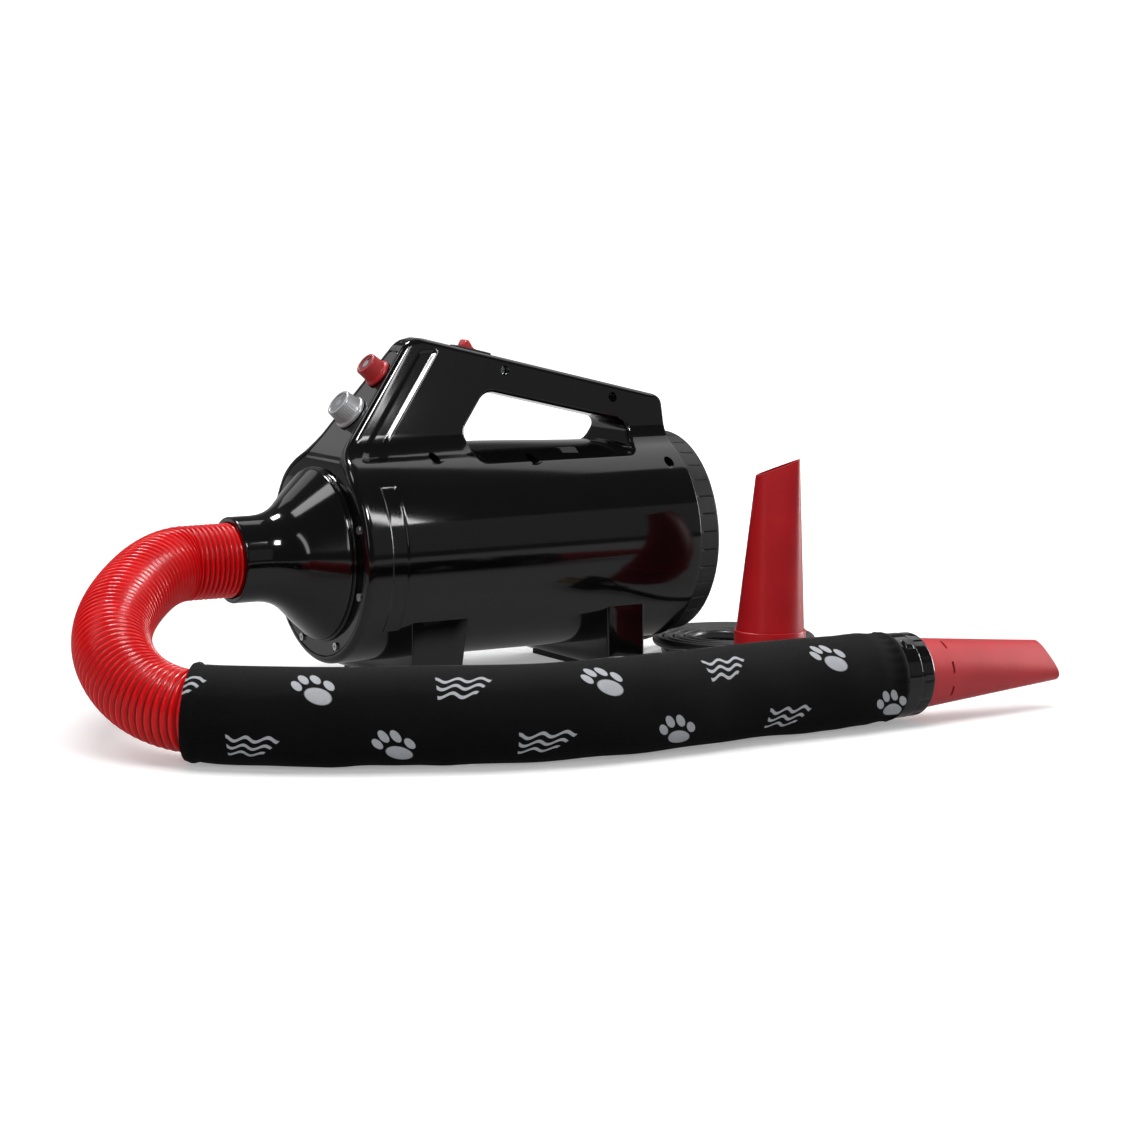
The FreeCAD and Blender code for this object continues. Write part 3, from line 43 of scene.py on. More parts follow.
# Camera: seen from the hose side, a little above the floor, with a long lens
camera = {
    "turn": -30.5,        # degrees about the vertical
    "rise": 7.4,          # degrees above the floor
    "target": (150, 0, 83),
    "distance": 2650,
    "lens": 105.6,
}


def placeCamera(c):
    turn = math.radians(c["turn"])
    rise = math.radians(c["rise"])
    back = np.array([math.sin(turn) * math.cos(rise), -math.cos(turn) * math.cos(rise), math.sin(rise)])
    data = bpy.data.cameras.new("view")
    data.lens = c["lens"]
    data.sensor_width = 36
    data.clip_start = 0.05
    data.clip_end = 60
    eye = bpy.data.objects.new("view", data)
    eye.location = (np.array(c["target"]) + back * c["distance"]) * mm
    eye.rotation_euler = (math.radians(90) - rise, 0, turn)
    bpy.context.scene.collection.objects.link(eye)
    bpy.context.scene.camera = eye


placeCamera(camera)


# Shader writing: sockets that take Python's operators, and one call for every other node
class Socket:
    def __init__(self, finish, out):
        self.finish = finish
        self.out = out

    def math(self, operation, *values):
        return self.finish.node("ShaderNodeMath", {"operation": operation}, dict(enumerate((self,) + values)))

    def __add__(self, other):
        return self.math("ADD", other)

    def __sub__(self, other):
        return self.math("SUBTRACT", other)

    def __mul__(self, other):
        return self.math("MULTIPLY", other)

    def __truediv__(self, other):
        return self.math("DIVIDE", other)

    def __pow__(self, other):
        return self.math("POWER", other)

    def __neg__(self):
        return self.math("MULTIPLY", -1.0)

    def __rsub__(self, other):
        return (-self) + other

    __radd__ = __add__
    __rmul__ = __mul__

    def step(self, low, high):
        # 0 below low, 1 above high, smooth between
        return self.finish.node(
            "ShaderNodeMapRange",
            {"interpolation_type": "SMOOTHSTEP", "clamp": True},
            {0: self, 1: low, 2: high, 3: 0.0, 4: 1.0},
        )

    def atMost(self, other):
        return self.math("MINIMUM", other)

    def atLeast(self, other):
        return self.math("MAXIMUM", other)

    def size(self):
        return self.math("ABSOLUTE")

    def fraction(self):
        return self.math("FRACT")


class Finish:
    # one material, or the world, as a tree of shader nodes
    def __init__(self, name, world=None):
        self.material = world or bpy.data.materials.new(name)
        self.material.use_nodes = True
        self.tree = self.material.node_tree
        self.tree.nodes.clear()
        self.output = self.tree.nodes.new("ShaderNodeOutputWorld" if world else "ShaderNodeOutputMaterial")
        if world is None:
            self.surface = self.node("ShaderNodeBsdfPrincipled")
            self.show(self.surface)

    def feed(self, socket, value):
        if isinstance(value, Socket):
            self.tree.links.new(value.out, socket)
        else:
            socket.default_value = value

    def show(self, surface):
        self.feed(self.output.inputs["Surface"], surface)

    def node(self, kind, settings=None, inputs=None, out=0):
        made = self.tree.nodes.new(kind)
        for key, value in (settings or {}).items():
            setattr(made, key, value)
        for key, value in (inputs or {}).items():
            self.feed(made.inputs[key], value)
        return Socket(self, made.outputs[out])

    def place(self):
        return self.node("ShaderNodeTexCoord", out="Object")

    def wrap(self):
        return self.parts(self.node("ShaderNodeTexCoord", out="UV"))[:2]

    def parts(self, vector):
        split = self.node("ShaderNodeSeparateXYZ", {}, {0: vector})
        return [Socket(self, out) for out in split.out.node.outputs]

    def noise(self, vector, scale, detail=3.0, roughness=0.5):
        return self.node("ShaderNodeTexNoise", {}, {
            "Vector": vector, "Scale": scale, "Detail": detail, "Roughness": roughness})

    def blend(self, share, first, second):
        return self.node("ShaderNodeMix", {"data_type": "RGBA"}, {0: share, 6: first, 7: second}, out=2)

    def bump(self, height, distance, strength=1.0):
        return self.node("ShaderNodeBump", {}, {
            "Strength": strength, "Distance": distance, "Height": height})

    def set(self, **sockets):
        for key, value in sockets.items():
            self.feed(self.surface.out.node.inputs[key.replace("_", " ")], value)
        return self


def shade(r, g, b):
    return (r, g, b, 1.0)


def darker(colour, share):
    return shade(*(c * share for c in colour[:3]))


def put(made, finish):
    made.data.materials.clear()
    made.data.materials.append(finish.material)


# Mesh writing: a grid of points becomes quads
def gridQuads(rows, columns, closeColumns=False):
    wide = columns if closeColumns else columns - 1
    a, b = np.meshgrid(np.arange(rows - 1), np.arange(wide), indexing="ij")
    here, above = a * columns, (a + 1) * columns
    beside = (b + 1) % columns
    return np.stack([here + b, above + b, above + beside, here + beside], -1).reshape(-1, 4)


class Skin:
    # gathers grids of points in millimetres and makes one welded mesh in metres
    def __init__(self):
        self.points = []
        self.quads = []
        self.uvs = []
        self.count = 0

    def addQuads(self, points, quads, uv=None):
        self.points.append(points)
        self.quads.append(quads + self.count)
        self.uvs.append(np.zeros((len(points), 2)) if uv is None else uv.reshape(-1, 2))
        self.count += len(points)
        return self

    def add(self, grid, closeColumns=False, flip=False, uv=None):
        quads = gridQuads(*grid.shape[:2], closeColumns)
        return self.addQuads(grid.reshape(-1, 3), quads[:, ::-1] if flip else quads, uv)

    def addBoth(self, grid, flip=False, closeColumns=False):
        # the grid on the near side and its mirror on the far side
        self.add(grid, closeColumns, flip)
        self.add(grid * np.array([1, -1, 1.0]), closeColumns, not flip)

    def mesh(self, name, weld=0.002, turnOut=True):
        points = np.concatenate(self.points) * mm
        quads = np.concatenate(self.quads)
        mesh = bpy.data.meshes.new(name)
        mesh.vertices.add(len(points))
        mesh.vertices.foreach_set("co", points.astype(np.float32).ravel())
        mesh.loops.add(quads.size)
        mesh.loops.foreach_set("vertex_index", quads.astype(np.int32).ravel())
        mesh.polygons.add(len(quads))
        mesh.polygons.foreach_set("loop_start", np.arange(0, quads.size, 4, dtype=np.int32))
        mesh.update(calc_edges=True)
        layer = mesh.uv_layers.new(name="wrap")
        uv = np.concatenate(self.uvs)[quads.ravel()]
        layer.data.foreach_set("uv", uv.astype(np.float32).ravel())
        work = bmesh.new()
        work.from_mesh(mesh)
        bmesh.ops.remove_doubles(work, verts=work.verts, dist=weld * mm)
        bmesh.ops.dissolve_degenerate(work, edges=work.edges, dist=1e-7)
        if turnOut:
            bmesh.ops.recalc_face_normals(work, faces=work.faces)
        work.to_mesh(mesh)
        work.free()
        return mesh


def piece(name, mesh, body, slotName, sharp, finish=None):
    # its finish is that of its slot, unless it has one of its own
    mesh.shade_smooth()
    mesh.set_sharp_from_angle(angle=math.radians(sharp))
    made = bpy.data.objects.new(name, mesh)
    bpy.context.scene.collection.objects.link(made)
    put(made, finish or finishes[slotName])
    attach(made, body)
    return made


def roundPath(points, radii, straightStep=3.0, arcStep=6.0):
    # straight runs joined by tangent arcs: returns places and left-hand normals
    points = [np.array(p, float) for p in points]
    places = []
    normals = []

    def run(a, b):
        count = max(1, int(np.linalg.norm(b - a) / straightStep))
        way = (b - a) / max(np.linalg.norm(b - a), 1e-9)
        share = np.linspace(0, 1, count + 1)[:, None]
        places.append(a + (b - a) * share)
        normals.append(np.repeat([[-way[1], way[0]]], count + 1, 0))

    here = points[0]
    for before, corner, after, radius in zip(points, points[1:], points[2:], radii):
        back = (before - corner) / np.linalg.norm(before - corner)
        ahead = (after - corner) / np.linalg.norm(after - corner)
        half = math.acos(np.clip(back @ ahead, -1, 1)) / 2
        reach = radius / math.tan(half)
        start, end = corner + back * reach, corner + ahead * reach
        run(here, start)
        here = end
        if radius <= 0:
            continue
        centre = corner + (back + ahead) / np.linalg.norm(back + ahead) * radius / math.sin(half)
        turn = math.pi - 2 * half
        side = 1 if (back[0] * ahead[1] - back[1] * ahead[0]) < 0 else -1
        first = math.atan2(*(start - centre)[::-1])
        count = max(2, int(math.degrees(turn) / arcStep))
        angles = first + side * turn * np.linspace(0, 1, count + 1)
        ray = np.stack([np.cos(angles), np.sin(angles)], -1)
        places.append(centre + ray * radius)
        normals.append(-ray * side)
    run(here, points[-1])
    places = np.concatenate(places)
    normals = np.concatenate(normals)
    keep = np.ones(len(places), bool)
    keep[1:] = np.linalg.norm(np.diff(places, axis=0), axis=1) > 1e-4
    return places[keep], normals[keep]


def turned(profile, axis, steps, waves=None):
    # a profile of (x, radius) swept about a line along X through axis = (y, z)
    angle = np.linspace(0, 2 * math.pi, steps, endpoint=False)
    x = np.repeat(profile[:, :1], steps, 1)
    r = np.repeat(profile[:, 1:2], steps, 1)
    if waves is not None:
        r = r + waves(x, r, angle[None, :])
    return np.stack([x, axis[0] + r * np.sin(angle), axis[1] + r * np.cos(angle)], -1)


def farAlong(line):
    # distance of each point of a line from its start, along the line
    return np.concatenate([[0], np.cumsum(np.linalg.norm(np.diff(line, axis=0), axis=1))])


def alongPath(line, spots):
    # places and frames at the given distances along a line of points
    far = farAlong(line)
    spots = np.asarray(spots, float)
    inside = np.clip(spots, 0, far[-1])
    place = np.stack([np.interp(inside, far, line[:, k]) for k in range(3)], -1)
    slopes = np.gradient(line, far, axis=0)
    way = np.stack([np.interp(inside, far, slopes[:, k]) for k in range(3)], -1)
    way /= np.linalg.norm(way, axis=1)[:, None]
    place += way * (spots - inside)[:, None]
    side = np.cross(way, [0, 0, 1.0])
    side /= np.linalg.norm(side, axis=1)[:, None]
    up = np.cross(side, way)
    return place, way, side, up


def aroundPath(line, spots, radii, columns):
    # rings of the given radii (rows x columns) about the line; column 0 is on top
    place, _, side, up = alongPath(line, spots)
    angle = np.linspace(0, 2 * math.pi, columns, endpoint=False)
    radii = np.broadcast_to(radii, (len(spots), columns))
    ray = side[:, None, :] * np.sin(angle)[None, :, None] + up[:, None, :] * np.cos(angle)[None, :, None]
    return place[:, None, :] + ray * radii[:, :, None]


def splineThrough(name, points, depth=0.0, resolution=12):
    data = bpy.data.curves.new(name, "CURVE")
    data.dimensions = "3D"
    line = data.splines.new("NURBS")
    line.points.add(len(points) - 1)
    flat = np.concatenate([np.asarray(points, float) * mm, np.ones((len(points), 1))], 1)
    line.points.foreach_set("co", flat.ravel())
    line.order_u = 3
    line.use_endpoint_u = True
    line.resolution_u = resolution
    data.bevel_depth = depth
    data.bevel_resolution = 7
    data.use_fill_caps = True
    made = bpy.data.objects.new(name, data)
    bpy.context.scene.collection.objects.link(made)
    return made


def readLine(points, resolution=24):
    # the spline's own points, in millimetres
    bare = splineThrough("bareLine", points, 0.0, resolution)
    bare.data.use_fill_caps = False
    mesh = bpy.data.meshes.new_from_object(bare)
    line = np.empty(len(mesh.vertices) * 3)
    mesh.vertices.foreach_get("co", line)
    bpy.data.objects.remove(bare)
    return line.reshape(-1, 3) / mm


def lengthOf(line):
    return float(farAlong(line)[-1])


def smooth(x, low, high):
    t = np.clip((x - low) / (high - low), 0, 1)
    return t * t * (3 - 2 * t)


# Finishes, one per material slot of the record, each with its own fine texture
def glossPlastic(name, colour, roughness, grain=900.0, relief=0.00002, mirror=0.5):
    f = Finish(name)
    spot = f.place()
    cloud = f.noise(spot, 22.0, 4.0)
    fine = f.noise(spot, grain, 2.0)
    return f.set(
        Base_Color=f.blend(cloud.step(0.35, 0.65), darker(colour, 0.88), colour),
        Roughness=cloud * 0.06 + fine * 0.04 + (roughness - 0.05),
        Normal=f.bump(fine, relief, 0.35),
        Specular_IOR_Level=mirror,
    )


def mattPlastic(name, colour, roughness, mirror=0.5):
    f = Finish(name)
    spot = f.place()
    fine = f.noise(spot, 1600.0, 3.0)
    cloud = f.noise(spot, 35.0)
    return f.set(
        Base_Color=f.blend(cloud, darker(colour, 0.85), colour),
        Roughness=fine * 0.12 + (roughness - 0.06),
        Normal=f.bump(fine, 0.00005, 0.5),
        Specular_IOR_Level=mirror,
    )


def metal(name, colour, roughness):
    # drawn metal: a noise stretched along the surface
    f = Finish(name)
    drawn = f.node("ShaderNodeMapping", {}, {"Vector": f.place(), "Scale": (1.0, 1.0, 40.0)})
    brush = f.noise(drawn, 260.0, 4.0, 0.6)
    return f.set(
        Base_Color=f.blend(brush, darker(colour, 0.82), colour),
        Metallic=1.0,
        Roughness=brush * 0.14 + (roughness - 0.07),
        Normal=f.bump(brush, 0.00002, 0.4),
    )


matts = {
    "dark_plastic": (shade(0.006, 0.006, 0.0065), 0.40, 0.30),
    "carbon": (shade(0.03, 0.03, 0.03), 0.6),
    "white_plastic": (shade(0.72, 0.71, 0.68), 0.38),
    "board_green": (shade(0.02, 0.16, 0.06), 0.35),
    "rubber": (shade(0.010, 0.010, 0.010), 0.72),
    "foam": (shade(0.035, 0.035, 0.04), 0.95),
    "cord": (shade(0.014, 0.014, 0.015), 0.36),
}
metals = {
    "steel": (shade(0.62, 0.63, 0.65), 0.28),
    "iron": (shade(0.35, 0.36, 0.38), 0.45),
    "copper": (shade(0.75, 0.32, 0.16), 0.32),
    "brass": (shade(0.78, 0.60, 0.26), 0.26),
    "tin": (shade(0.70, 0.70, 0.70), 0.35),
    "alloy": (shade(0.66, 0.67, 0.69), 0.34),
}
finishes = {
    "black_shell": glossPlastic("black_shell", shade(0.0028, 0.0028, 0.0032), 0.09, 700.0, 0.000006, 0.40),
    "red_plastic": glossPlastic("red_plastic", shade(0.55, 0.02, 0.025), 0.30, relief=0.00003),
    **{name: mattPlastic(name, *look) for name, look in matts.items()},
    **{name: metal(name, *look) for name, look in metals.items()},
}


def hosePlastic():
    # glossy red with painted shade in the valleys, which are also rougher: the first UV coordinate counts the
    # ribs, whole numbers are valleys
    f = Finish("red_hose")
    count, _ = f.wrap()
    valley = ((count.fraction() - 0.5).size() * 2.0).step(0.50, 0.98)
    spot = f.place()
    cloud = f.noise(spot, 24.0, 3.0)
    fine = f.noise(spot, 1200.0, 2.0)
    lit = f.blend(cloud.step(0.3, 0.7), shade(0.66, 0.003, 0.005), shade(0.76, 0.005, 0.007))
    return f.set(
        # painted shade: the valleys take a dark red in place of the shade the lamps would give between the
        # ribs
        Base_Color=f.blend(valley, lit, shade(0.17, 0.000, 0.001)),
        Roughness=cloud * 0.05 + fine * 0.03 + valley * 0.35 + 0.17,
        Normal=f.bump(fine, 0.00001, 0.3),
        Specular_IOR_Level=0.26,
    )


finishes["red_hose"] = hosePlastic()
nozzlePink = glossPlastic("nozzle_satin", shade(0.58, 0.034, 0.042), 0.38, relief=0.00003, mirror=0.32)
nozzleRed = glossPlastic("nozzle_deep", shade(0.44, 0.008, 0.012), 0.36, relief=0.00003, mirror=0.22)
print("finishes ready")

# Nodes of the CAD that stay as they are, by finish
keptNodes = {
    "steel": ["case_screws", "panel_screws", "motor_bracket", "motor_can", "rotor_shaft", "front_bearing",
              "rear_bearing"],
    "rubber": ["front_foot_pad", "rear_foot_pad", "motor_mount", "cord_gland"],
    "iron": ["speed_control", "heat_control", "speed_shaft", "heat_shaft", "stator", "armature"],
    "brass": ["speed_nut", "heat_nut", "brush_holders", "plug_pins"],
    "dark_plastic": ["power_switch", "fan_housing", "filter_basket", "rear_grille"],
    "alloy": ["front_impeller", "rear_impeller", "diffuser", "heat_sink"],
    "copper": ["field_winding", "commutator"],
    "carbon": ["brushes"],
    "white_plastic": ["heater_frame"],
    "tin": ["heater"],
    "board_green": ["control_board"],
    "foam": ["filter_foam"],
    "cord": ["plug"],
}
for finishName, names in keptNodes.items():
    for name in names:
        put(nodes[name], finishes[finishName])
        nodes[name].data.shade_flat()
print("kept nodes coloured:", sum(len(names) for names in keptNodes.values()))

# Hose: ribbed rings along its spline, from the cone to the cuff
hose = {
    "route": [(-101, 0, 104), (-153, 0, 104), (-205, 0, 104), (-300, -121, 72), (-301, -207, 34.4),
              (-239, -274, 34), (-96, -345, 34), (-2, -356, 34), (92, -346, 34), (196, -346, 34)],
    # ribs a millimetre at places along the hose: pushed together at the cone, drawn out in the bend
    "ribs": [(41.5, 0.250), (75, 0.240), (110, 0.148), (200, 0.137), (250, 0.170), (310, 0.182),
             (380, 0.192)],
    "crest": 28.5, "root": 26.2, "bore": 25.0, "length": 0.88, "columns": 112, "rowsPerRib": 10,
}


def makeHose(h):
    line = readLine(h["route"])
    total = lengthOf(line)
    first, last = h["ribs"][0][0], h["ribs"][-1][0]
    run = np.linspace(first, last, 1400)
    counted = np.cumsum(np.interp(run, *zip(*h["ribs"]))) * (run[1] - run[0])
    whole = math.floor(counted[-1])
    ribs = np.interp(np.arange(whole * h["rowsPerRib"] + 1) / h["rowsPerRib"], counted, run)
    last = ribs[-1]
    spots = np.concatenate([[0, 1, 38], ribs, np.linspace(last + 2, total, 110)])
    turn = np.interp(spots, run, counted)
    # crest height over one pitch: 1 - |cos(pi * turn)|^2.6, a wide round crest and a narrow root
    wave = 1 - np.abs(np.cos(math.pi * turn)) ** 2.6
    ribbed = h["root"] + (h["crest"] - h["root"]) * wave
    radius = np.where(spots < first, h["crest"] - 0.2, np.where(spots > last, h["root"], ribbed))
    columns = h["columns"]
    outside = aroundPath(line, spots, radius[:, None], columns)
    inside = aroundPath(line, np.linspace(total, 0, 120), h["bore"], columns)
    side = np.linspace(0, 1, columns, endpoint=False)
    outer = np.stack(np.meshgrid(np.where(spots < first, 0.5, turn), side, indexing="ij"), -1)
    rest = np.zeros((len(inside) + 1, columns, 2)) + 0.5
    skin = Skin().add(np.concatenate([outside, inside, outside[:1]]), closeColumns=True,
                      uv=np.concatenate([outer, rest]))
    mesh = skin.mesh("ribbedHose")
    made = piece("ribbedHose", mesh, "dryer", "red_hose", 80)
    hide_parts("hose")
    print("hose runs", round(total), "mm with", whole, "ribs")
    return made, line


hosePiece, hoseLine = makeHose(hose)

# Sleeve: dark cloth over the hose, hemmed at its open end and drawn in on the cuff
sleeve = {"from": 372.0, "endX": 217.0, "radius": 33.4, "cloth": 1.1, "columns": 144, "rows": 300}


def makeSleeve(s):
    last = lengthOf(hoseLine) + (s["endX"] - hose["route"][-1][0])
    v = np.linspace(0, 1, s["rows"])
    spots = s["from"] + (last - s["from"]) * v
    u = np.linspace(0, 2 * math.pi, s["columns"], endpoint=False)
    place, way, _, up = alongPath(hoseLine, spots)
    height = place[:, 2][:, None]
    along = spots[:, None]
    angle = u[None, :]
    # slack of the cloth: long folds that wander round the tube, and a belly that sags below
    folds = 0.55 * np.sin(along / 27 + 2.1 * np.sin(angle + 0.6)) * np.cos(2 * angle + along / 90)
    folds += 0.38 * np.sin(along / 11.5 + 3 * np.cos(angle - 0.9)) * smooth(np.cos(angle - 2.2), -0.2, 0.9)
    folds += 0.24 * np.sin(along / 6.1 + 2 * angle) * smooth(np.cos(angle + 1.2 + along / 60), 0.2, 1.0)
    sag = 0.9 * smooth(-np.cos(angle), 0.1, 1.0) * (0.6 + 0.4 * np.sin(along / 34 + 1.0))
    start = smooth(along, s["from"] + 4, s["from"] + 22)
    nearCuff = smooth(along, last - 52, last - 14)
    radius = s["radius"] + (folds + sag) * start * (1 - 0.85 * nearCuff)
    # rolled hem at the open end, gathers and a hem on the cuff
    hem = np.exp(-((along - s["from"] - 4.2) / 2.6) ** 2)
    radius = radius + 1.25 * hem - 0.35 * np.exp(-((along - s["from"] - 9.0) / 1.2) ** 2)
    gather = smooth(along, last - 24, last - 9)
    pleats = 0.28 * gather * np.cos(26 * angle) * (1 - smooth(along, last - 5, last))
    radius = radius - gather * (radius - 31.9) + pleats
    radius = radius + 0.8 * np.exp(-((along - last + 3.4) / 2.0) ** 2)
    # keep the cloth off the floor
    drop = np.cos(angle) * up[:, 2][:, None]
    limit = np.where(drop < -0.1, (height - 0.4) / np.maximum(-drop, 0.1), 99)
    radius = np.minimum(radius, limit)
    # the open end is cut a little askew: its near side lies further along
    askew = 9.0 * np.sin(angle) * (1 - smooth(along, s["from"], s["from"] + 60))
    slide = way[:, None, :] * askew[:, :, None]
    outside = aroundPath(hoseLine, spots, radius, s["columns"]) + slide
    inside = (aroundPath(hoseLine, spots, radius - s["cloth"], s["columns"]) + slide)[::-1]
    wrap = np.stack(np.meshgrid(spots / 1000, u / (2 * math.pi), indexing="ij"), -1)
    uv = np.concatenate([wrap, wrap[::-1], wrap[:1]])
    skin = Skin().add(np.concatenate([outside, inside, outside[:1]]), closeColumns=True, uv=uv)
    return skin.mesh("clothSleeve"), (last - s["from"]) / 1000


sleeveMesh, sleeveLength = makeSleeve(sleeve)


def clothFinish():
    # twill weave printed with two plain motifs by turns: a paw, and three short waves of air
    f = Finish("cloth")
    along, around = f.wrap()
    across = around * 0.213
    warp = (((along + across) * 900.0).fraction() - 0.5).size() * 2.0
    weft = (((along - across) * 900.0).fraction() - 0.5).size() * 2.0
    relief = warp.atLeast(weft * 0.7)
    spot = f.place()
    lint = f.noise(spot, 700.0, 5.0, 0.7)
    cloud = f.noise(spot, 30.0, 3.0)
    # cells 94 mm long and a fifth of the way round, each row shifted; a and b are millimetres from the middle
    row = around * 5.0 + 0.85
    rowIndex = row.math("FLOOR")
    cell = along / 0.094 + rowIndex * 0.45 + 0.15
    cellIndex = cell.math("FLOOR")
    kind = ((cellIndex + rowIndex) * 0.5).fraction() * 2.0
    b = (row.fraction() - 0.5) * 42.6
    a = (cell.fraction() - 0.5) * 94.0 + b * (kind * 0.8 - 0.45)
    side = a.size()

    def oval(x, y, wide, high):
        p, q = (side - x) / wide, (b - y) / high
        return p * p + q * q

    paw = oval(0.0, 5.6, 8.2, 6.4).atMost(oval(10.4, -2.6, 3.1, 4.3)).atMost(oval(3.9, -8.4, 3.1, 4.6))
    paw = 1.0 - paw.step(0.85, 1.15)
    level = (b - (a * 0.42).math("SINE") * 1.7) / 6.2
    wave = 1.0 - ((level + 0.5).fraction() - 0.5).size().step(0.16, 0.23)
    wave = wave * (1.0 - level.size().step(1.38, 1.46)) * (1.0 - (side + level * 3.0).step(15.0, 15.8))
    mask = wave * kind + paw * (1.0 - kind)
    dark = f.blend(cloud, shade(0.0016, 0.0016, 0.0018), shade(0.0032, 0.0032, 0.0035))
    return f.set(
        Base_Color=f.blend(mask * (0.66 + lint * 0.5), dark, shade(0.50, 0.51, 0.54)),
        Roughness=lint * 0.2 + 0.74,
        Specular_IOR_Level=0.10,
        Normal=f.bump(relief + lint * 0.7, 0.00018, 0.8),
    )


finishes["cloth"] = clothFinish()
sleevePiece = piece("clothSleeve", sleeveMesh, "dryer", "cloth", 80)
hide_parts("hose_sleeve")
print("sleeve ready,", round(sleeveLength * 1000), "mm long")

# Mains lead: one spline from the gland through the coil to the plug
lead = {
    "start": [(178, 24, 13), (208, 24, 13), (238, 24, 13), (268, 46, 12.7)],
    "end": [(250, -81.3, 4.1), (222, -94, 8), (202, -115, 12)],
    "coilX": 298.0, "coilY": -22.0, "pitch": 8.7, "outer": 68.0, "perTurn": 16, "turns": 7.5, "drop": 4,
    "high": 12.7, "low": 4.1, "radius": 4.0, "length": 2.48,
}


def coilPoints(c):
    # winds in on the upper layer, drops to the lower one in half a turn and winds out there
    inner = c["outer"] - c["drop"] * c["pitch"]
    turns = np.arange(0, c["turns"] + 1e-6, 1 / c["perTurn"])
    first = turns <= c["drop"]
    landed = turns >= c["drop"] + 0.5
    share = np.clip((turns - c["drop"]) / 0.5, 0, 1)
    outward = inner + c["pitch"] * (turns - c["drop"] - 0.5)
    r = np.where(landed, outward, inner - 1.2 * np.sin(math.pi * share))
    r = np.where(first, c["outer"] - c["pitch"] * turns, r)
    z = c["low"] + (c["high"] - c["low"]) * (1 + np.cos(math.pi * share)) / 2
    # a quadratic spline runs inside its control points by this share
    r = r / (0.75 + 0.25 * math.cos(2 * math.pi / c["perTurn"]))
    angle = 2 * math.pi * turns
    return np.stack([c["coilX"] + r * np.sin(angle), c["coilY"] + r * np.cos(angle), z], -1)


leadPoints = lead["start"] + [tuple(p) for p in coilPoints(lead)] + lead["end"]
leadPiece = splineThrough("mainsLead", leadPoints, lead["radius"] * mm, 8)
put(leadPiece, finishes["cord"])
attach(leadPiece, "dryer")
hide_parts("power_cord", "cord_coil")
leadLine = readLine(leadPoints, 8)
print("lead runs", round(lengthOf(leadLine)), "mm")

# Sections of tower and handle: the barrel circle with the leaning flanks blended in
body = {
    "axisZ": 104.0, "radius": 85.0, "front": -68.0, "rear": 228.0, "flankZ": 262.0, "flankHalf": 12.0,
    "lean": math.radians(13.2), "blend": 26.0, "tilt": math.radians(38.3), "bendZ": 173.5, "bendR": 52.0,
    "slope": math.radians(13.9), "topX": 31.0, "topZ": 264.6, "edge": 5.0, "rearEdge": 0.8, "rise": 46.0,
}
panelIn = np.array([math.cos(body["tilt"]), 0, -math.sin(body["tilt"])])
panelUp = np.array([math.sin(body["tilt"]), 0, math.cos(body["tilt"])])


def onPanel(height, depth):
    # point on the sloping front at a height, sunk by a depth
    along = (height - body["bendZ"]) / panelUp[2]
    return np.array([body["front"], 0, body["bendZ"]]) + panelUp * along + panelIn * depth


# Outlet cone: turned bell with the hose socket in its mouth
cone = {"mouth": -143.0, "neck": 33.0, "neckEnd": -108.0, "bell": (-74.0, 64.0), "flange": 67.5}


def makeCone(c):
    outline = [(c["mouth"] + 42, 28.8), (c["mouth"], 28.8), (c["mouth"], c["neck"]),
               (c["neckEnd"], c["neck"]), (c["bell"][0] + 1.2, c["bell"][1] + 2), (-70.1, c["bell"][1] + 2),
               (-70.1, c["flange"]), (-67.6, c["flange"]), (-67.6, 60.0), (-74, 60.0), (-96, 36.0),
               (-98.5, 25.1), (-101, 25.1), (-101, 28.8)]
    places, _ = roundPath(outline, [1.0, 1.4, 38.0, 2.2, 0.5, 0.8, 0.2, 0.5, 4, 2, 0.2, 0.2], 2.0, 9.0)
    skin = Skin().add(turned(places, (0, body["axisZ"]), 192), closeColumns=True)
    made = piece("outletCone", skin.mesh("outletCone"), "dryer", "black_shell", 28)
    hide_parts("outlet_cone")


makeCone(cone)

# Knobs: turned shapes stood on the sloping front
speedKnob = {"height": 211.0, "base": 14.0, "top": 11.2, "tall": 15.5, "gap": 0.6, "flutes": 36}
heatKnob = {"height": 240.5, "base": 11.5, "top": 9.3, "tall": 15.0, "gap": 0.6, "flutes": 36}


def turnAboutY(points, angle):
    # Z leans toward X by the angle
    x, y, z = points[..., 0], points[..., 1], points[..., 2]
    c, s = math.cos(angle), math.sin(angle)
    return np.stack([x * c + z * s, y, z * c - x * s], -1)


def knobFinish(name, k, colour, face, share):
    # satin paint with a darker face: the face is picked out by its height along the knob's own axis
    f = Finish(name)
    spot = f.place()
    out = -panelIn
    foot = onPanel(k["height"], 0.4) * mm
    dot = f.node("ShaderNodeVectorMath", {"operation": "DOT_PRODUCT"}, {0: spot, 1: tuple(out)}, out="Value")
    high = (dot - float(out @ foot)) / mm
    tall = k["tall"]
    onFace = high.step(tall - 1.1, tall - 0.7) * (1.0 - high.step(tall - 0.5, tall - 0.3))
    fine = f.noise(spot, 1300.0, 2.0)
    cloud = f.noise(spot, 60.0)
    return f.set(
        Base_Color=f.blend(onFace, f.blend(cloud * 0.5, colour, face), face),
        Metallic=share,
        Roughness=fine * 0.10 + onFace * 0.15 + 0.30,
        Normal=f.bump(fine, 0.00003, 0.4),
        Specular_IOR_Level=0.4,
    )


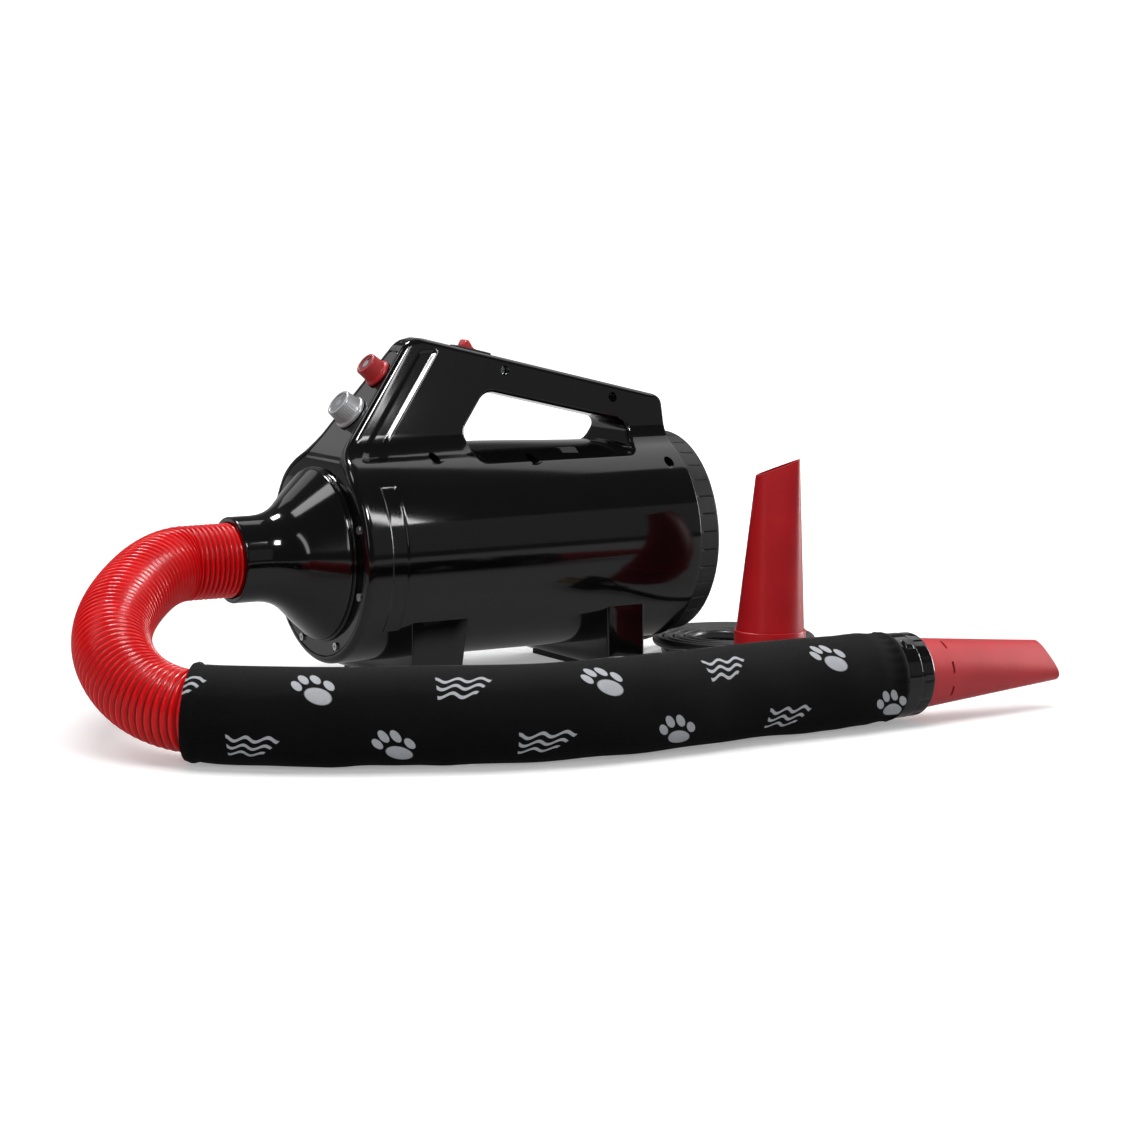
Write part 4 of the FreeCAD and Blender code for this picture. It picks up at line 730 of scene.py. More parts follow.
def makeKnob(name, k, bodyName, finish, slotName, node):
    foot, base, top, tall = k["gap"], k["base"], k["top"], k["tall"]
    outline = [(3.1, foot + 5), (base - 3.2, foot + 5), (base - 3.2, foot), (base, foot), (base, foot + 2.0),
               (base - 1.6, foot + 3.2), (top, tall - 0.2), (top - 2.0, tall), (top - 2.6, tall - 0.8),
               (3.1, tall - 0.8)]
    places, _ = roundPath(outline, [0.2, 0.2, 0.2, 0.9, 0.6, 1.3, 0.3, 0.3], 0.8, 12.0)
    columns = 4 * k["flutes"]
    angle = np.linspace(0, 2 * math.pi, columns, endpoint=False)
    r = np.repeat(places[:, :1], columns, 1)
    z = np.repeat(places[:, 1:], columns, 1)
    # fine grip flutes on the tapering wall
    wall = smooth(z, foot + 3.6, foot + 5.0) * (1 - smooth(z, tall - 2.4, tall - 1.2)) * (r > top - 0.8)
    r = r - 0.22 * wall * (0.5 - 0.5 * np.cos(k["flutes"] * angle))
    lean = body["tilt"] - math.pi / 2
    spot = onPanel(k["height"], 0.4)
    grid = turnAboutY(np.stack([r * np.cos(angle), r * np.sin(angle), z], -1), lean) + spot
    skin = Skin().add(np.concatenate([grid, grid[:1]]), closeColumns=True)
    # pointer: a low bar on the face, closed at both ends
    half, low, high = 0.55, tall - 0.85, tall - 0.35
    ring = [(-half, low), (half, low), (half, high), (-half, high)]
    bar = np.array([[(x, y, z) for y, z in ring] for x in (3.6, top - 3.0)])
    ends = np.repeat(bar.mean(1, keepdims=True), 4, 1)
    skin.add(turnAboutY(np.concatenate([ends[:1], bar, ends[1:]]), lean) + spot, closeColumns=True)
    made = piece(name, skin.mesh(name), bodyName, slotName, 30, finish)
    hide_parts(node)


silverPaint = knobFinish("silver_satin", speedKnob, shade(0.50, 0.51, 0.52), shade(0.16, 0.16, 0.17), 0.45)
redPaint = knobFinish("red_satin", heatKnob, shade(0.50, 0.010, 0.014), shade(0.13, 0.012, 0.014), 0.0)
makeKnob("speedKnob", speedKnob, "speed_dial", silverPaint, "silver_knob", "speed_knob")
makeKnob("heatKnob", heatKnob, "heat_dial", redPaint, "red_plastic", "heat_knob")

# Cuff and collar at the hose end
connector = {"y": -346.0, "z": 34.0, "lugX": 224.0, "lugTurn": 35.0, "flats": 12}


def makeCuff(c):
    outline = [(158.0, 26.8), (158.0, 28.5), (168.0, 31.0), (230.0, 31.0), (230.0, 29.4), (200.0, 29.4),
               (200.0, 26.8), (158.0, 26.8)]
    places, _ = roundPath(outline, [0.3, 2.0, 0.9, 0.3, 0.3, 0.3], 2.0, 12.0)
    skin = Skin().add(turned(places, (c["y"], c["z"]), 160), closeColumns=True)
    # lug on the rim, a rounded block
    x = np.linspace(-1, 1, 15)
    u, v = np.meshgrid(x, x, indexing="ij")
    bulge = (1 - np.abs(u) ** 6) * (1 - np.abs(v) ** 6)
    angle = math.radians(c["lugTurn"]) + v * 5 / 31
    r = 30.7 + 1.9 * bulge
    skin.add(np.stack([c["lugX"] + 4.2 * u, c["y"] - r * np.sin(angle), c["z"] + r * np.cos(angle)], -1))
    made = piece("cuff", skin.mesh("cuff"), "dryer", "black_shell", 30)
    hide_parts("hose_cuff")


def makeCollar(c):
    outline = [(200.0, 28.1), (200.0, 28.9), (229.6, 28.9), (230.0, 30.4), (241.0, 30.4), (241.0, 28.1),
               (200.0, 28.1)]
    places, _ = roundPath(outline, [0.2, 0.2, 0.5, 1.6, 0.6], 1.2, 12.0)

    def waves(x, r, angle):
        # wide flats with a soft groove between neighbours
        grip = smooth(x, 231.0, 232.2) * (1 - smooth(x, 238.8, 240.0)) * (r > 29.6)
        share = np.abs(((angle * c["flats"] / (2 * math.pi)) % 1) - 0.5) * 2
        return -grip * (0.55 * smooth(share, 0.80, 0.97) - 0.25 * (1 - share ** 2))

    skin = Skin().add(turned(places, (c["y"], c["z"]), 24 * c["flats"], waves=waves), closeColumns=True)
    mesh = skin.mesh("collar")
    made = piece("collar", mesh, "collar", "black_shell", 30)
    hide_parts("swivel_collar")


makeCuff(connector)
makeCollar(connector)

# Blow nozzles: round cuff, step, funnel with a row of slots, slanted flat mouth
nozzleShape = {"cuff": 42.5, "cuffR": 27.9, "step": 26.7, "length": 166.0, "slant": 9.0, "halfX": 16.0,
               "halfY": 6.2, "wall": 2.0, "slots": 8, "slotAt": 63.5, "slotHigh": 2.0, "slotWide": 9.0,
               "slotR": 24.0, "lean": (0, 0), "columns": 240}


def funnelPoint(n, z, turn, inset):
    # superellipse that goes from a circle at the step to a flat oval past the mouth
    share = (z - (n["cuff"] - 3.5)) / (n["length"] + n["slant"] - n["cuff"] + 3.5)
    c, s = np.cos(turn), np.sin(turn)
    first = n["step"] - inset
    power = 2 / 3
    x = first * c + (np.sign(c) * np.abs(c) ** power * (n["halfX"] - inset) - first * c) * share
    y = first * s + (np.sign(s) * np.abs(s) ** power * (n["halfY"] - inset) - first * s) * share
    return x, y


def makeNozzle(name, bodyName, finish, node, heading, place, lying, **changes):
    n = dict(nozzleShape, **changes)
    columns = n["columns"]
    turn = np.linspace(0, 2 * math.pi, columns, endpoint=False)
    span = n["length"] - n["cuff"]

    def roundRow(z, r):
        return np.stack([r * np.cos(turn), r * np.sin(turn), np.full(columns, z)], -1)

    def funnelRow(share, inset):
        # the mouth's slant grows over the outer half of the funnel
        z = np.full(columns, n["cuff"] + span * share)
        x, _ = funnelPoint(n, z, turn, inset)
        z = z + x * n["slant"] / (2 * n["halfX"]) * smooth(share, 0.5, 1.0)
        x, y = funnelPoint(n, z, turn, inset)
        return np.stack([x, y, z], -1)

    # rows of the funnel: 12 up to the slots' lower edge, one in their middle, the rest from their upper edge
    low = (n["slotAt"] - n["cuff"]) / span
    high = (n["slotAt"] + n["slotHigh"] - n["cuff"]) / span
    shares = [*np.linspace(0, low, 12), (low + high) / 2, *np.linspace(high, 0.99, 50), 1.0]
    # rows of the cuff: a height, and how far the row lies inside the cuff's radius
    cuffRows = [(0.0, 0.7), (0.25, 0.25), (0.7, 0.0), (8.0, 0.0), (20.0, 0.0), (32.0, 0.0),
                (n["cuff"] - 0.8, 0.0), (n["cuff"] - 0.25, 0.15), (n["cuff"], 0.55)]
    boreRows = [0.0, 20.0, n["cuff"] - 3.0]
    outer = [roundRow(z, n["cuffR"] - inward) for z, inward in cuffRows] + [funnelRow(s, 0.0) for s in shares]
    inner = [roundRow(z, n["cuffR"] - n["wall"]) for z in boreRows]
    inner += [funnelRow(s, n["wall"]) for s in shares]
    grid = np.array(outer + inner[::-1] + outer[:1])

    # slots: quads left out of both skins, and walls between the open edges
    outerSlot = len(cuffRows) + 11
    innerSlot = len(outer) + len(inner) - 1 - (len(boreRows) + 13)
    quads = gridQuads(len(grid), columns, True)
    row, column = quads[:, 0] // columns, quads[:, 0] % columns
    middle = turn[column] + math.pi / columns
    halfSlot = n["slotWide"] / 2 / n["slotR"] * n["slots"] / (2 * math.pi)
    slotted = np.abs(middle * n["slots"] / (2 * math.pi) % 1 - 0.5) < halfSlot
    outerHole = slotted & (row >= outerSlot) & (row < outerSlot + 2)
    innerHole = slotted & (row >= innerSlot) & (row < innerSlot + 2)
    edges = np.stack([quads[outerHole], np.roll(quads[outerHole], -1, 1)], -1).reshape(-1, 2)
    edges, used = np.unique(np.sort(edges, 1), axis=0, return_counts=True)
    a, b = edges[used == 1].T

    def facing(point):
        return (outerSlot + innerSlot + 2 - point // columns) * columns + point % columns

    walls = np.stack([a, b, facing(b), facing(a)], -1)

    # stood up or laid along X, then turned by its heading
    x, y, z = grid.reshape(-1, 3).T
    spin = math.radians(-heading if lying else heading)
    c, s = math.cos(spin), math.sin(spin)
    if lying:
        points = np.stack([z, y * c + x * s, y * s - x * c], -1)
    else:
        share = np.clip((z - n["cuff"]) / span, 0, None)
        points = np.stack([x * c - y * s + n["lean"][0] * share, x * s + y * c + n["lean"][1] * share, z], -1)
    skin = Skin().addQuads(points + np.array(place),
                           np.concatenate([quads[~(outerHole | innerHole)], walls.astype(int)]))
    made = piece(name, skin.mesh(name), bodyName, "red_plastic", 32, finish)
    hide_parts(node)


makeNozzle("fittedNozzle", "fitted_nozzle", nozzlePink, "nozzle", 40, (198.5, -346, 34), True)
makeNozzle("spareNozzle", "loose_nozzle", nozzleRed, "spare_nozzle", -30, (243, -160, 0), False,
           slots=0, slant=12.0, length=169.0, lean=(4.8, -2.8))
print("turned pieces ready")

# Rear cover: ring with grooves along it
cover = {"from": 228.0, "to": 248.0, "front": 83.0, "rear": 81.0, "wall": 3.6, "seat": 74.0, "grooves": 36,
         "grooveR": 82.0, "deep": 0.7}


def makeCover(c):
    inner = c["rear"] - c["wall"]
    outline = [(c["from"], c["seat"]), (c["from"], c["front"]), (244.0, 81.4), (c["to"], c["rear"]),
               (c["to"], inner), (243.5, inner), (243.5, c["seat"]), (c["from"], c["seat"])]
    places, _ = roundPath(outline, [0.7, 6.0, 2.2, 0.7, 0.4, 0.4], 0.8, 12.0)

    def waves(x, r, angle):
        # share is the distance from the nearest groove's middle, in millimetres
        pitch = math.pi * c["grooveR"] / c["grooves"]
        share = np.abs(((angle * c["grooves"] / (2 * math.pi)) % 1) - 0.5) * 2 * pitch
        cut = smooth(x, 230.8, 231.6) * (1 - smooth(x, 243.4, 244.4)) * (r > 79)
        return -c["deep"] * cut * (1 - smooth(share, 0.2, 0.75))

    skin = Skin().add(turned(places, (0, body["axisZ"]), c["grooves"] * 18, waves=waves), closeColumns=True)
    made = piece("rearCover", skin.mesh("rearCover"), "cover", "dark_plastic", 30)
    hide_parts("rear_cover")


makeCover(cover)


# Section of barrel and tower: half outline on the near side, from the bottom up
class Section:
    def __init__(self, b):
        # the blend's centre lies one blend radius off the flank and off the barrel
        lean, r = b["lean"], b["blend"]
        centre = np.array([0.0, b["axisZ"]])
        up = np.array([-math.sin(lean), math.cos(lean)])
        self.b = b
        self.out = np.array([math.cos(lean), math.sin(lean)])
        arm = np.array([b["flankHalf"], b["flankZ"]]) + self.out * r - centre
        along = -(arm @ up)
        reach = -along - math.sqrt(along ** 2 - arm @ arm + (b["radius"] + r) ** 2)
        self.blendAt = centre + arm - up * reach
        toward = self.blendAt - centre
        self.low = b["axisZ"] + b["radius"] * math.sin(math.atan2(toward[1], toward[0]))
        self.high = (self.blendAt - self.out * r)[1]

    def at(self, z):
        # half width and outward normal (y, z) at a height, on the upper half of the section
        b = self.b
        z = np.asarray(z, float)
        flank = b["flankHalf"] + (b["flankZ"] - z) * math.tan(b["lean"])
        drop = np.clip((z - self.blendAt[1]) / b["blend"], -1, 1)
        hollow = self.blendAt[0] - b["blend"] * np.sqrt(1 - drop ** 2)
        rise = np.clip((z - b["axisZ"]) / b["radius"], -1, 1)
        barrel = b["radius"] * np.sqrt(1 - rise ** 2)
        onFlank, onBlend = z >= self.high, z >= self.low
        y = np.where(onFlank, flank, np.where(onBlend, hollow, barrel))
        ny = np.where(onFlank, self.out[0], np.where(onBlend, np.sqrt(1 - drop ** 2), np.sqrt(1 - rise ** 2)))
        nz = np.where(onFlank, self.out[1], np.where(onBlend, -drop, rise))
        return y, ny, nz


section = Section(body)


def frontLine(offset, z):
    # x of the bent front at a height, sunk by an offset, which also narrows the arc of its bend
    b = body
    centreX = b["front"] + b["bendR"]
    centreZ = b["bendZ"] - b["bendR"] * math.tan(b["tilt"] / 2)
    r = b["bendR"] - offset
    z = np.asarray(z, float)
    slopeX = b["front"] + (z - b["bendZ"]) * math.tan(b["tilt"]) + offset / math.cos(b["tilt"])
    arcX = centreX - np.sqrt(np.maximum(r * r - (z - centreZ) ** 2, 0))
    endZ = centreZ + r * math.sin(b["tilt"])
    return np.where(z <= centreZ, b["front"] + offset, np.where(z <= endZ, arcX, slopeX))


def handleTop(x):
    return body["topZ"] - (x - body["topX"]) * math.tan(body["slope"])


def rollEdge(edge, first, second, radius, steps=7):
    # ball of a radius in an outside corner: rows from the face with normal first to the one with second
    radius = np.broadcast_to(radius, len(edge))[:, None]
    dot = (first * second).sum(1, keepdims=True)
    centre = edge - radius * (first + second) / (1 + dot)
    angle = np.arccos(np.clip(dot, -1, 1))
    rows = []
    for share in np.linspace(0, 1, steps):
        ray = (first * np.sin((1 - share) * angle) + second * np.sin(share * angle)) / np.sin(angle)
        rows.append(centre + ray * radius)
    return np.array(rows)


# Bands that follow the front: each border is a start and an end of the slope into the sunk part
bands = {
    "deep": 1.2,
    "tower": {"low": (177.6, 179.6), "high": (256.0, 259.0), "ahead": (15.9, 17.1), "behind": (29.3, 30.5)},
    "barrel": {"low": (51.0, 56.0), "high": (159.0, 160.8), "ahead": (20.9, 22.1), "behind": (33.9, 35.1)},
}


def sunk(x, z):
    # depth of the bands at a point of the side
    d = x - frontLine(0, z)
    shares = []
    for band in (bands["tower"], bands["barrel"]):
        share = smooth(z, *band["low"]) * (1 - smooth(z, *band["high"]))
        shares.append(share * smooth(d, *band["ahead"]) * (1 - smooth(d, *band["behind"])))
    return bands["deep"] * np.maximum(*shares)


def surface(x, z):
    # points of the near side's skin above the join
    y, ny, nz = section.at(z)
    deep = sunk(x, z)
    return np.stack([x, -(y - ny * deep), z - nz * deep], -1)


def barrelPoints(x, turns, deep=0.0):
    # points of the near side's skin below the join, by their angle round the barrel
    r = body["radius"] - deep
    return np.stack([x, -r * np.cos(turns), body["axisZ"] + r * np.sin(turns)], -1)


# Rows and columns of the housing's grid: its rows are level up to fanZ and fan out to the outline above
layout = {
    "lowRows": 76, "fanZ": 195.0, "fanRows": 48, "rearColumns": 92, "rearBend": 6,
    "offsets": [6.5, 8.5, 10.5, 12.5, 14.4, 15.8, 16.3, 16.8, 17.3, 17.9, 19.2, 20.4, 21, 21.5, 22, 22.6, 24,
                26.5, 28.6, 29.4, 29.9, 30.4, 31, 32.2, 33.4, 34, 34.5, 35, 35.6, 37, 39.5, 43],
    "seam": np.concatenate([np.linspace(0, 0.93, 11), [0.98, 1.0]]),   # columns from the edge to the middle
}
joinZ = body["axisZ"] + body["rise"]
joinTurn = math.asin(body["rise"] / body["radius"])

# Hand hole: its outline lies inside a block of the grid that runs from a height to a share of the rows above
# fanZ, and from 34 or 37 mm at the front to 209 mm at the rear
hole = {
    "floor": 172.0, "frontX": 50.0, "rearX": 190.0, "roll": 3.0, "steps": 11,
    "fromZ": 159.0, "toShare": 0.76, "lowFrontX": 34.0, "highFrontX": 37.0, "lowRearX": 209.0,
}


def handHole(xGrid, zGrid, rowZ, fanned, upper):
    # the block gives way to rings that close in on the rim, and the rim rolls over into the tunnel
    fanZ = layout["fanZ"]
    k = 1.0 / math.cos(body["slope"])
    start = [(120.0, hole["floor"])]
    corners = [(hole["frontX"], hole["floor"]), (45, 196), (69, handleTop(69) - 28 * k - 0.4),
               (194, handleTop(194) - 27 * k), (hole["rearX"], hole["floor"])]
    rim, rimNormal = roundPath(start + corners + start, [4, 12, 15, 9, 9], 0.4, 2.0)
    if ((rim[0] - np.array([120, 200])) * rimNormal[0]).sum() > 0:
        rimNormal = -rimNormal
    i0 = int(np.argmin(np.abs(rowZ - hole["fromZ"])))
    i1 = int(np.argmin(np.abs((rowZ - fanZ) / (rowZ[-1] - fanZ) - hole["toShare"])))
    j0 = fanned + 3
    while xGrid[i1, j0] > hole["highFrontX"] or xGrid[i0, j0] > hole["lowFrontX"]:
        j0 -= 1
    j1 = xGrid.shape[1] - 1
    while xGrid[i0, j1] > hole["lowRearX"]:
        j1 -= 1
    wide, high = j1 - j0, i1 - i0
    block = np.concatenate([
        np.stack([np.full(wide, i0), np.arange(j0, j1)], -1),
        np.stack([np.arange(i0, i1), np.full(high, j1)], -1),
        np.stack([np.full(wide, i1), np.arange(j1, j0, -1)], -1),
        np.stack([np.arange(i1, i0, -1), np.full(high, j0)], -1),
    ]).T
    blockXZ = np.stack([xGrid[tuple(block)], zGrid[tuple(block)]], -1)
    # the rim runs the other way round than the block, so each side of it is walked backwards
    rimFar = farAlong(rim)
    near = [(50.5, 173), (188, 174), (192.5, 195), (70, 225)]
    marks = [rimFar[np.argmin(np.linalg.norm(rim - np.array(p), axis=1))] for p in near]
    total = rimFar[-1]
    spots = []
    for mark, following, size in zip(marks, marks[1:] + marks[:1], (wide, high, wide, high)):
        spots.append(mark - ((mark - following) % total) * np.arange(size) / size)
    spots = np.concatenate(spots) % total
    ringX, ringZ = (np.interp(spots, rimFar, rim[:, k]) for k in range(2))
    wallX, wallZ = (np.interp(spots, rimFar, rimNormal[:, k]) for k in range(2))
    size = np.hypot(wallX, wallZ)
    y, ny, nz = section.at(ringZ)
    zero = np.zeros(len(y))
    first = np.stack([wallX / size, zero, wallZ / size], -1)
    rolled = rollEdge(np.stack([ringX, -y, ringZ], -1), first, np.stack([zero, -ny, nz], -1), hole["roll"])
    inner = rolled[-1][:, [0, 2]]
    # the outermost ring is the block's own points
    rings = [upper[tuple(block)]]
    for s in np.linspace(0, 1, hole["steps"])[1:-1]:
        flat = blockXZ + (inner - blockXZ) * s
        rings.append(surface(flat[:, 0], flat[:, 1]))
    rings = np.array(rings + [rolled[-1]])
    # the floor of the tunnel is crowned like the barrel under it
    levelFloor = smooth(first[:, 2], 0.3, 0.95)
    crest = (185.0 - 4.0 * smooth(ringX, 50.0, 190.0) - hole["floor"]) * levelFloor
    tunnel = []
    for s in np.linspace(1, -1, 21):
        row = rolled[0] * np.array([1, s, 1.0])
        row[:, 2] += crest * (1 - s * s)
        tunnel.append(row)
    return (i0, i1, j0, j1), rings, rolled, np.array(tunnel)


def makeHousing():
    b = body
    skin = Skin()
    fanZ, seam = layout["fanZ"], layout["seam"]

    # side outline from the join up the front, over the crown, along the handle and down the rear post
    fall, lean = math.tan(b["slope"]), math.tan(b["tilt"])
    crownZ = (b["topZ"] + fall * (b["topX"] - b["front"] + lean * b["bendZ"])) / (1 + fall * lean)
    crownX = b["front"] + lean * (crownZ - b["bendZ"])
    corners = [(b["front"], joinZ), (b["front"], b["bendZ"]), (crownX, crownZ),
               (b["rear"], handleTop(b["rear"])), (b["rear"], joinZ)]
    places, normals = roundPath(corners, [b["bendR"], 20.0, 9.0], 0.3, 0.7)
    if normals[0, 0] > 0:
        normals = -normals
    far = farAlong(places)
    radii = b["edge"] + (b["rearEdge"] - b["edge"]) * smooth(places[:, 0], b["rear"] - 9, b["rear"] - 0.3)

    def rollAt(t, steps=7):
        # edge ball at distances along the side outline
        x, z = (np.interp(t, far, places[:, k]) for k in range(2))
        nx, nz = (np.interp(t, far, normals[:, k]) for k in range(2))
        size = np.hypot(nx, nz)
        y, sy, sz = section.at(z)
        edge = np.stack([x, -y, z], -1)
        zero = np.zeros(len(edge))
        first = np.stack([nx / size, zero, nz / size], -1)
        return rollEdge(edge, first, np.stack([zero, -sy, sz], -1), np.interp(t, far, radii), steps), edge

    dense, _ = rollAt(far, 2)
    touch = dense[-1][:, [0, 2]]
    top = int(np.argmax(touch[:, 1]))
    rearX = b["rear"] - b["rearEdge"]
    rear = int(np.argmax(touch[:, 0] > rearX - 0.01))

    # heights of the rows at the front column
    rowZ = np.concatenate([np.arange(joinZ, fanZ, 1.25), np.linspace(fanZ, touch[top, 1], layout["fanRows"])])
    rowZ[0] = touch[0, 1]
    frontT = np.interp(rowZ, touch[:top + 1, 1], far[:top + 1])
    # columns that follow the front, then columns that fan out to the rear
    offsets = layout["offsets"]
    overTop = touch[top:rear + 1]
    topT = []
    for d in offsets:
        ahead = overTop[:, 0] - frontLine(d, overTop[:, 1])
        topT.append(np.interp(0, ahead, far[top:rear + 1]))
    spread = np.linspace(0, 1, layout["rearColumns"] + 1)[1:]
    topT = np.concatenate([topT, topT[-1] + (far[rear] - topT[-1]) * spread])
    topX, topZ = (np.interp(topT, far, touch[:, k]) for k in range(2))

    # heights over the whole upper grid: level below fanZ, then scaled to the top outline
    topZ = np.concatenate([[rowZ[-1]], topZ])
    share = (topZ[None, :] - fanZ) / (rowZ[-1] - fanZ)
    zGrid = np.where(rowZ[:, None] <= fanZ, rowZ[:, None], fanZ + (rowZ[:, None] - fanZ) * share)
    rows, columns = zGrid.shape
    xGrid = np.empty_like(zGrid)
    xGrid[:, 0] = np.interp(frontT, far, touch[:, 0])
    for j, d in enumerate(offsets):
        xGrid[:, j + 1] = frontLine(d, zGrid[:, j + 1])
    last = len(offsets)
    xGrid[:, last + 1:] = xGrid[:, last:last + 1] + (rearX - xGrid[:, last:last + 1]) * spread
    slack = topX - xGrid[-1, 1:]
    slack[:last] = 0
    xGrid[:, 1:] += slack[None, :] * np.linspace(0, 1, rows)[:, None] ** layout["rearBend"]

    # lower grid round the barrel by angle, up to the join
    upper = surface(xGrid, zGrid)
    turns = np.linspace(-math.pi / 2, joinTurn, layout["lowRows"])
    lowX, lowTurn = np.meshgrid(xGrid[0], turns)
    lower = barrelPoints(lowX, lowTurn, sunk(lowX, b["axisZ"] + b["radius"] * np.sin(lowTurn)))
    lower[-1] = upper[0]
    skin.addBoth(lower)

    (i0, i1, j0, j1), rings, rolled, tunnel = handHole(xGrid, zGrid, rowZ, last, upper)
    skin.addBoth(rings, closeColumns=True)
    skin.addBoth(rolled, closeColumns=True)
    skin.add(tunnel, closeColumns=True)
    quads = gridQuads(rows, columns)
    row, column = quads[:, 0] // columns, quads[:, 0] % columns
    quads = quads[(row < i0) | (row >= i1) | (column < j0) | (column >= j1)]
    for mirror in (1, -1):
        skin.addQuads(upper.reshape(-1, 3) * np.array([1, mirror, 1.0]), quads[:, ::mirror])

    # edge ball all the way: front rows, top columns, rear rows
    rearT = np.interp(-zGrid[::-1, -1], -touch[rear:, 1], far[rear:])
    path = np.concatenate([frontT, topT, rearT[1:]])
    roll, edge = rollAt(path)
    roll[-1] = np.concatenate([upper[:, 0], upper[-1, 1:], upper[-2::-1, -1]])
    skin.addBoth(roll)
    lowSide = np.stack([np.zeros(len(turns)), -np.cos(turns), np.sin(turns)], -1)
    ends = {}
    for end, x, way, r in (("front", b["front"], -1.0, b["edge"]), ("rear", b["rear"], 1.0, b["rearEdge"])):
        lowEdge = barrelPoints(np.full(len(turns), x), turns)
        lowRoll = rollEdge(lowEdge, np.tile([way, 0, 0.0], (len(turns), 1)), lowSide, r)
        lowRoll[-1] = lower[:, 0 if end == "front" else -1]
        skin.addBoth(lowRoll)
        ends[end] = lowRoll[0]

    # front: rim and wall of the pocket that the panel lies in
    pocketTop = int(np.argmin(np.abs(edge[:rows, 2] - 258.5)))
    z = edge[:pocketTop + 1, 2]
    y, ny, nz = section.at(z)
    z = np.concatenate([b["axisZ"] + b["radius"] * np.sin(turns[:-1]), z])
    y = np.concatenate([b["radius"] * np.cos(turns[:-1]), y])
    ny = np.concatenate([np.cos(turns[:-1]), ny])
    nz = np.concatenate([np.sin(turns[:-1]), nz])
    wall = [np.concatenate([ends["front"][:-1], roll[0][:pocketTop + 1]])]
    for inset, depth in ((5.42, 0.0), (5.66, 0.10), (5.80, 0.36), (5.80, 3.4)):
        wall.append(np.stack([frontLine(depth, z - nz * inset), -(y - ny * inset), z - nz * inset], -1))
    wall = np.array(wall)
    wall[:, 0, 1] = 0.0
    skin.addBoth(wall)
    # top of the pocket: the same profile across it
    sideEnd = wall[1:, -1]
    lift = np.array([0.38, 0.14, 0.0, 0.0])
    topWall = np.repeat(sideEnd[:, None, :], len(seam), 1)
    topWall[..., 1] = sideEnd[:, 1][:, None] * (1 - seam)
    topWall += (lift[:, None] * smooth(seam, 0, seam[1]))[..., None] * panelUp
    skin.addBoth(topWall)

    # strip over crown and handle top and down the rear post, with the parting groove in its middle
    rearEnd = len(path) - rows + int(np.argmin(np.abs(zGrid[::-1, -1] - 196)))
    stripRows = roll[0][pocketTop:rearEnd + 1]
    strip = np.repeat(stripRows[:, None, :], len(seam), 1)
    strip[..., 1] = stripRows[:, 1][:, None] * (1 - seam)
    outward = np.stack([np.interp(path, far, normals[:, k]) for k in range(2)], -1)[pocketTop:rearEnd + 1]
    groove = 0.35 * (seam > 0.99)
    strip[..., 0] -= outward[:, 0][:, None] * groove
    strip[..., 2] -= outward[:, 1][:, None] * groove
    topWall[0, -1] -= 0.35 * np.array([outward[0, 0], 0, outward[0, 1]])
    # the first row of the strip also meets the rim's own flat
    head = np.concatenate([stripRows[:1], topWall[0]])[None]
    strip = np.concatenate([strip[1:, :1], strip[1:, :1] * 0.02 + strip[1:, 1:2] * 0.98, strip[1:, 1:]], 1)
    skin.addBoth(np.concatenate([head, strip]))

    # inside: seat of the filter, then the bore that the fan and heater stand in
    rearLoop = np.concatenate([ends["rear"][:-1], roll[0][rearEnd:][::-1], strip[-1][1:]])
    frontLoop = np.concatenate([wall[-1][:-1], topWall[-1]])

    def onRing(loop, radius, x):
        angle = np.arctan2(loop[:, 2] - b["axisZ"], -loop[:, 1])
        y, z = -radius * np.cos(angle), b["axisZ"] + radius * np.sin(angle)
        return np.stack([np.full(len(loop), x), y, z], -1)

    seat, bore = 82.2, 58.0
    seatRing = onRing(rearLoop, seat, b["rear"])
    skin.addBoth(np.array([rearLoop, (rearLoop + seatRing) / 2, seatRing]), flip=True)
    inside = [(seat, b["rear"]), (seat, 219.2), (bore, 218.8), (bore, 120.0), (bore, -50.0)]
    skin.addBoth(np.array([onRing(rearLoop, r, x) for r, x in inside]), flip=True)
    mouth = [onRing(frontLoop, 59.0, -51.0), onRing(frontLoop, 62.0, -62.0), frontLoop]
    skin.addBoth(np.array(mouth), flip=True)
    return skin


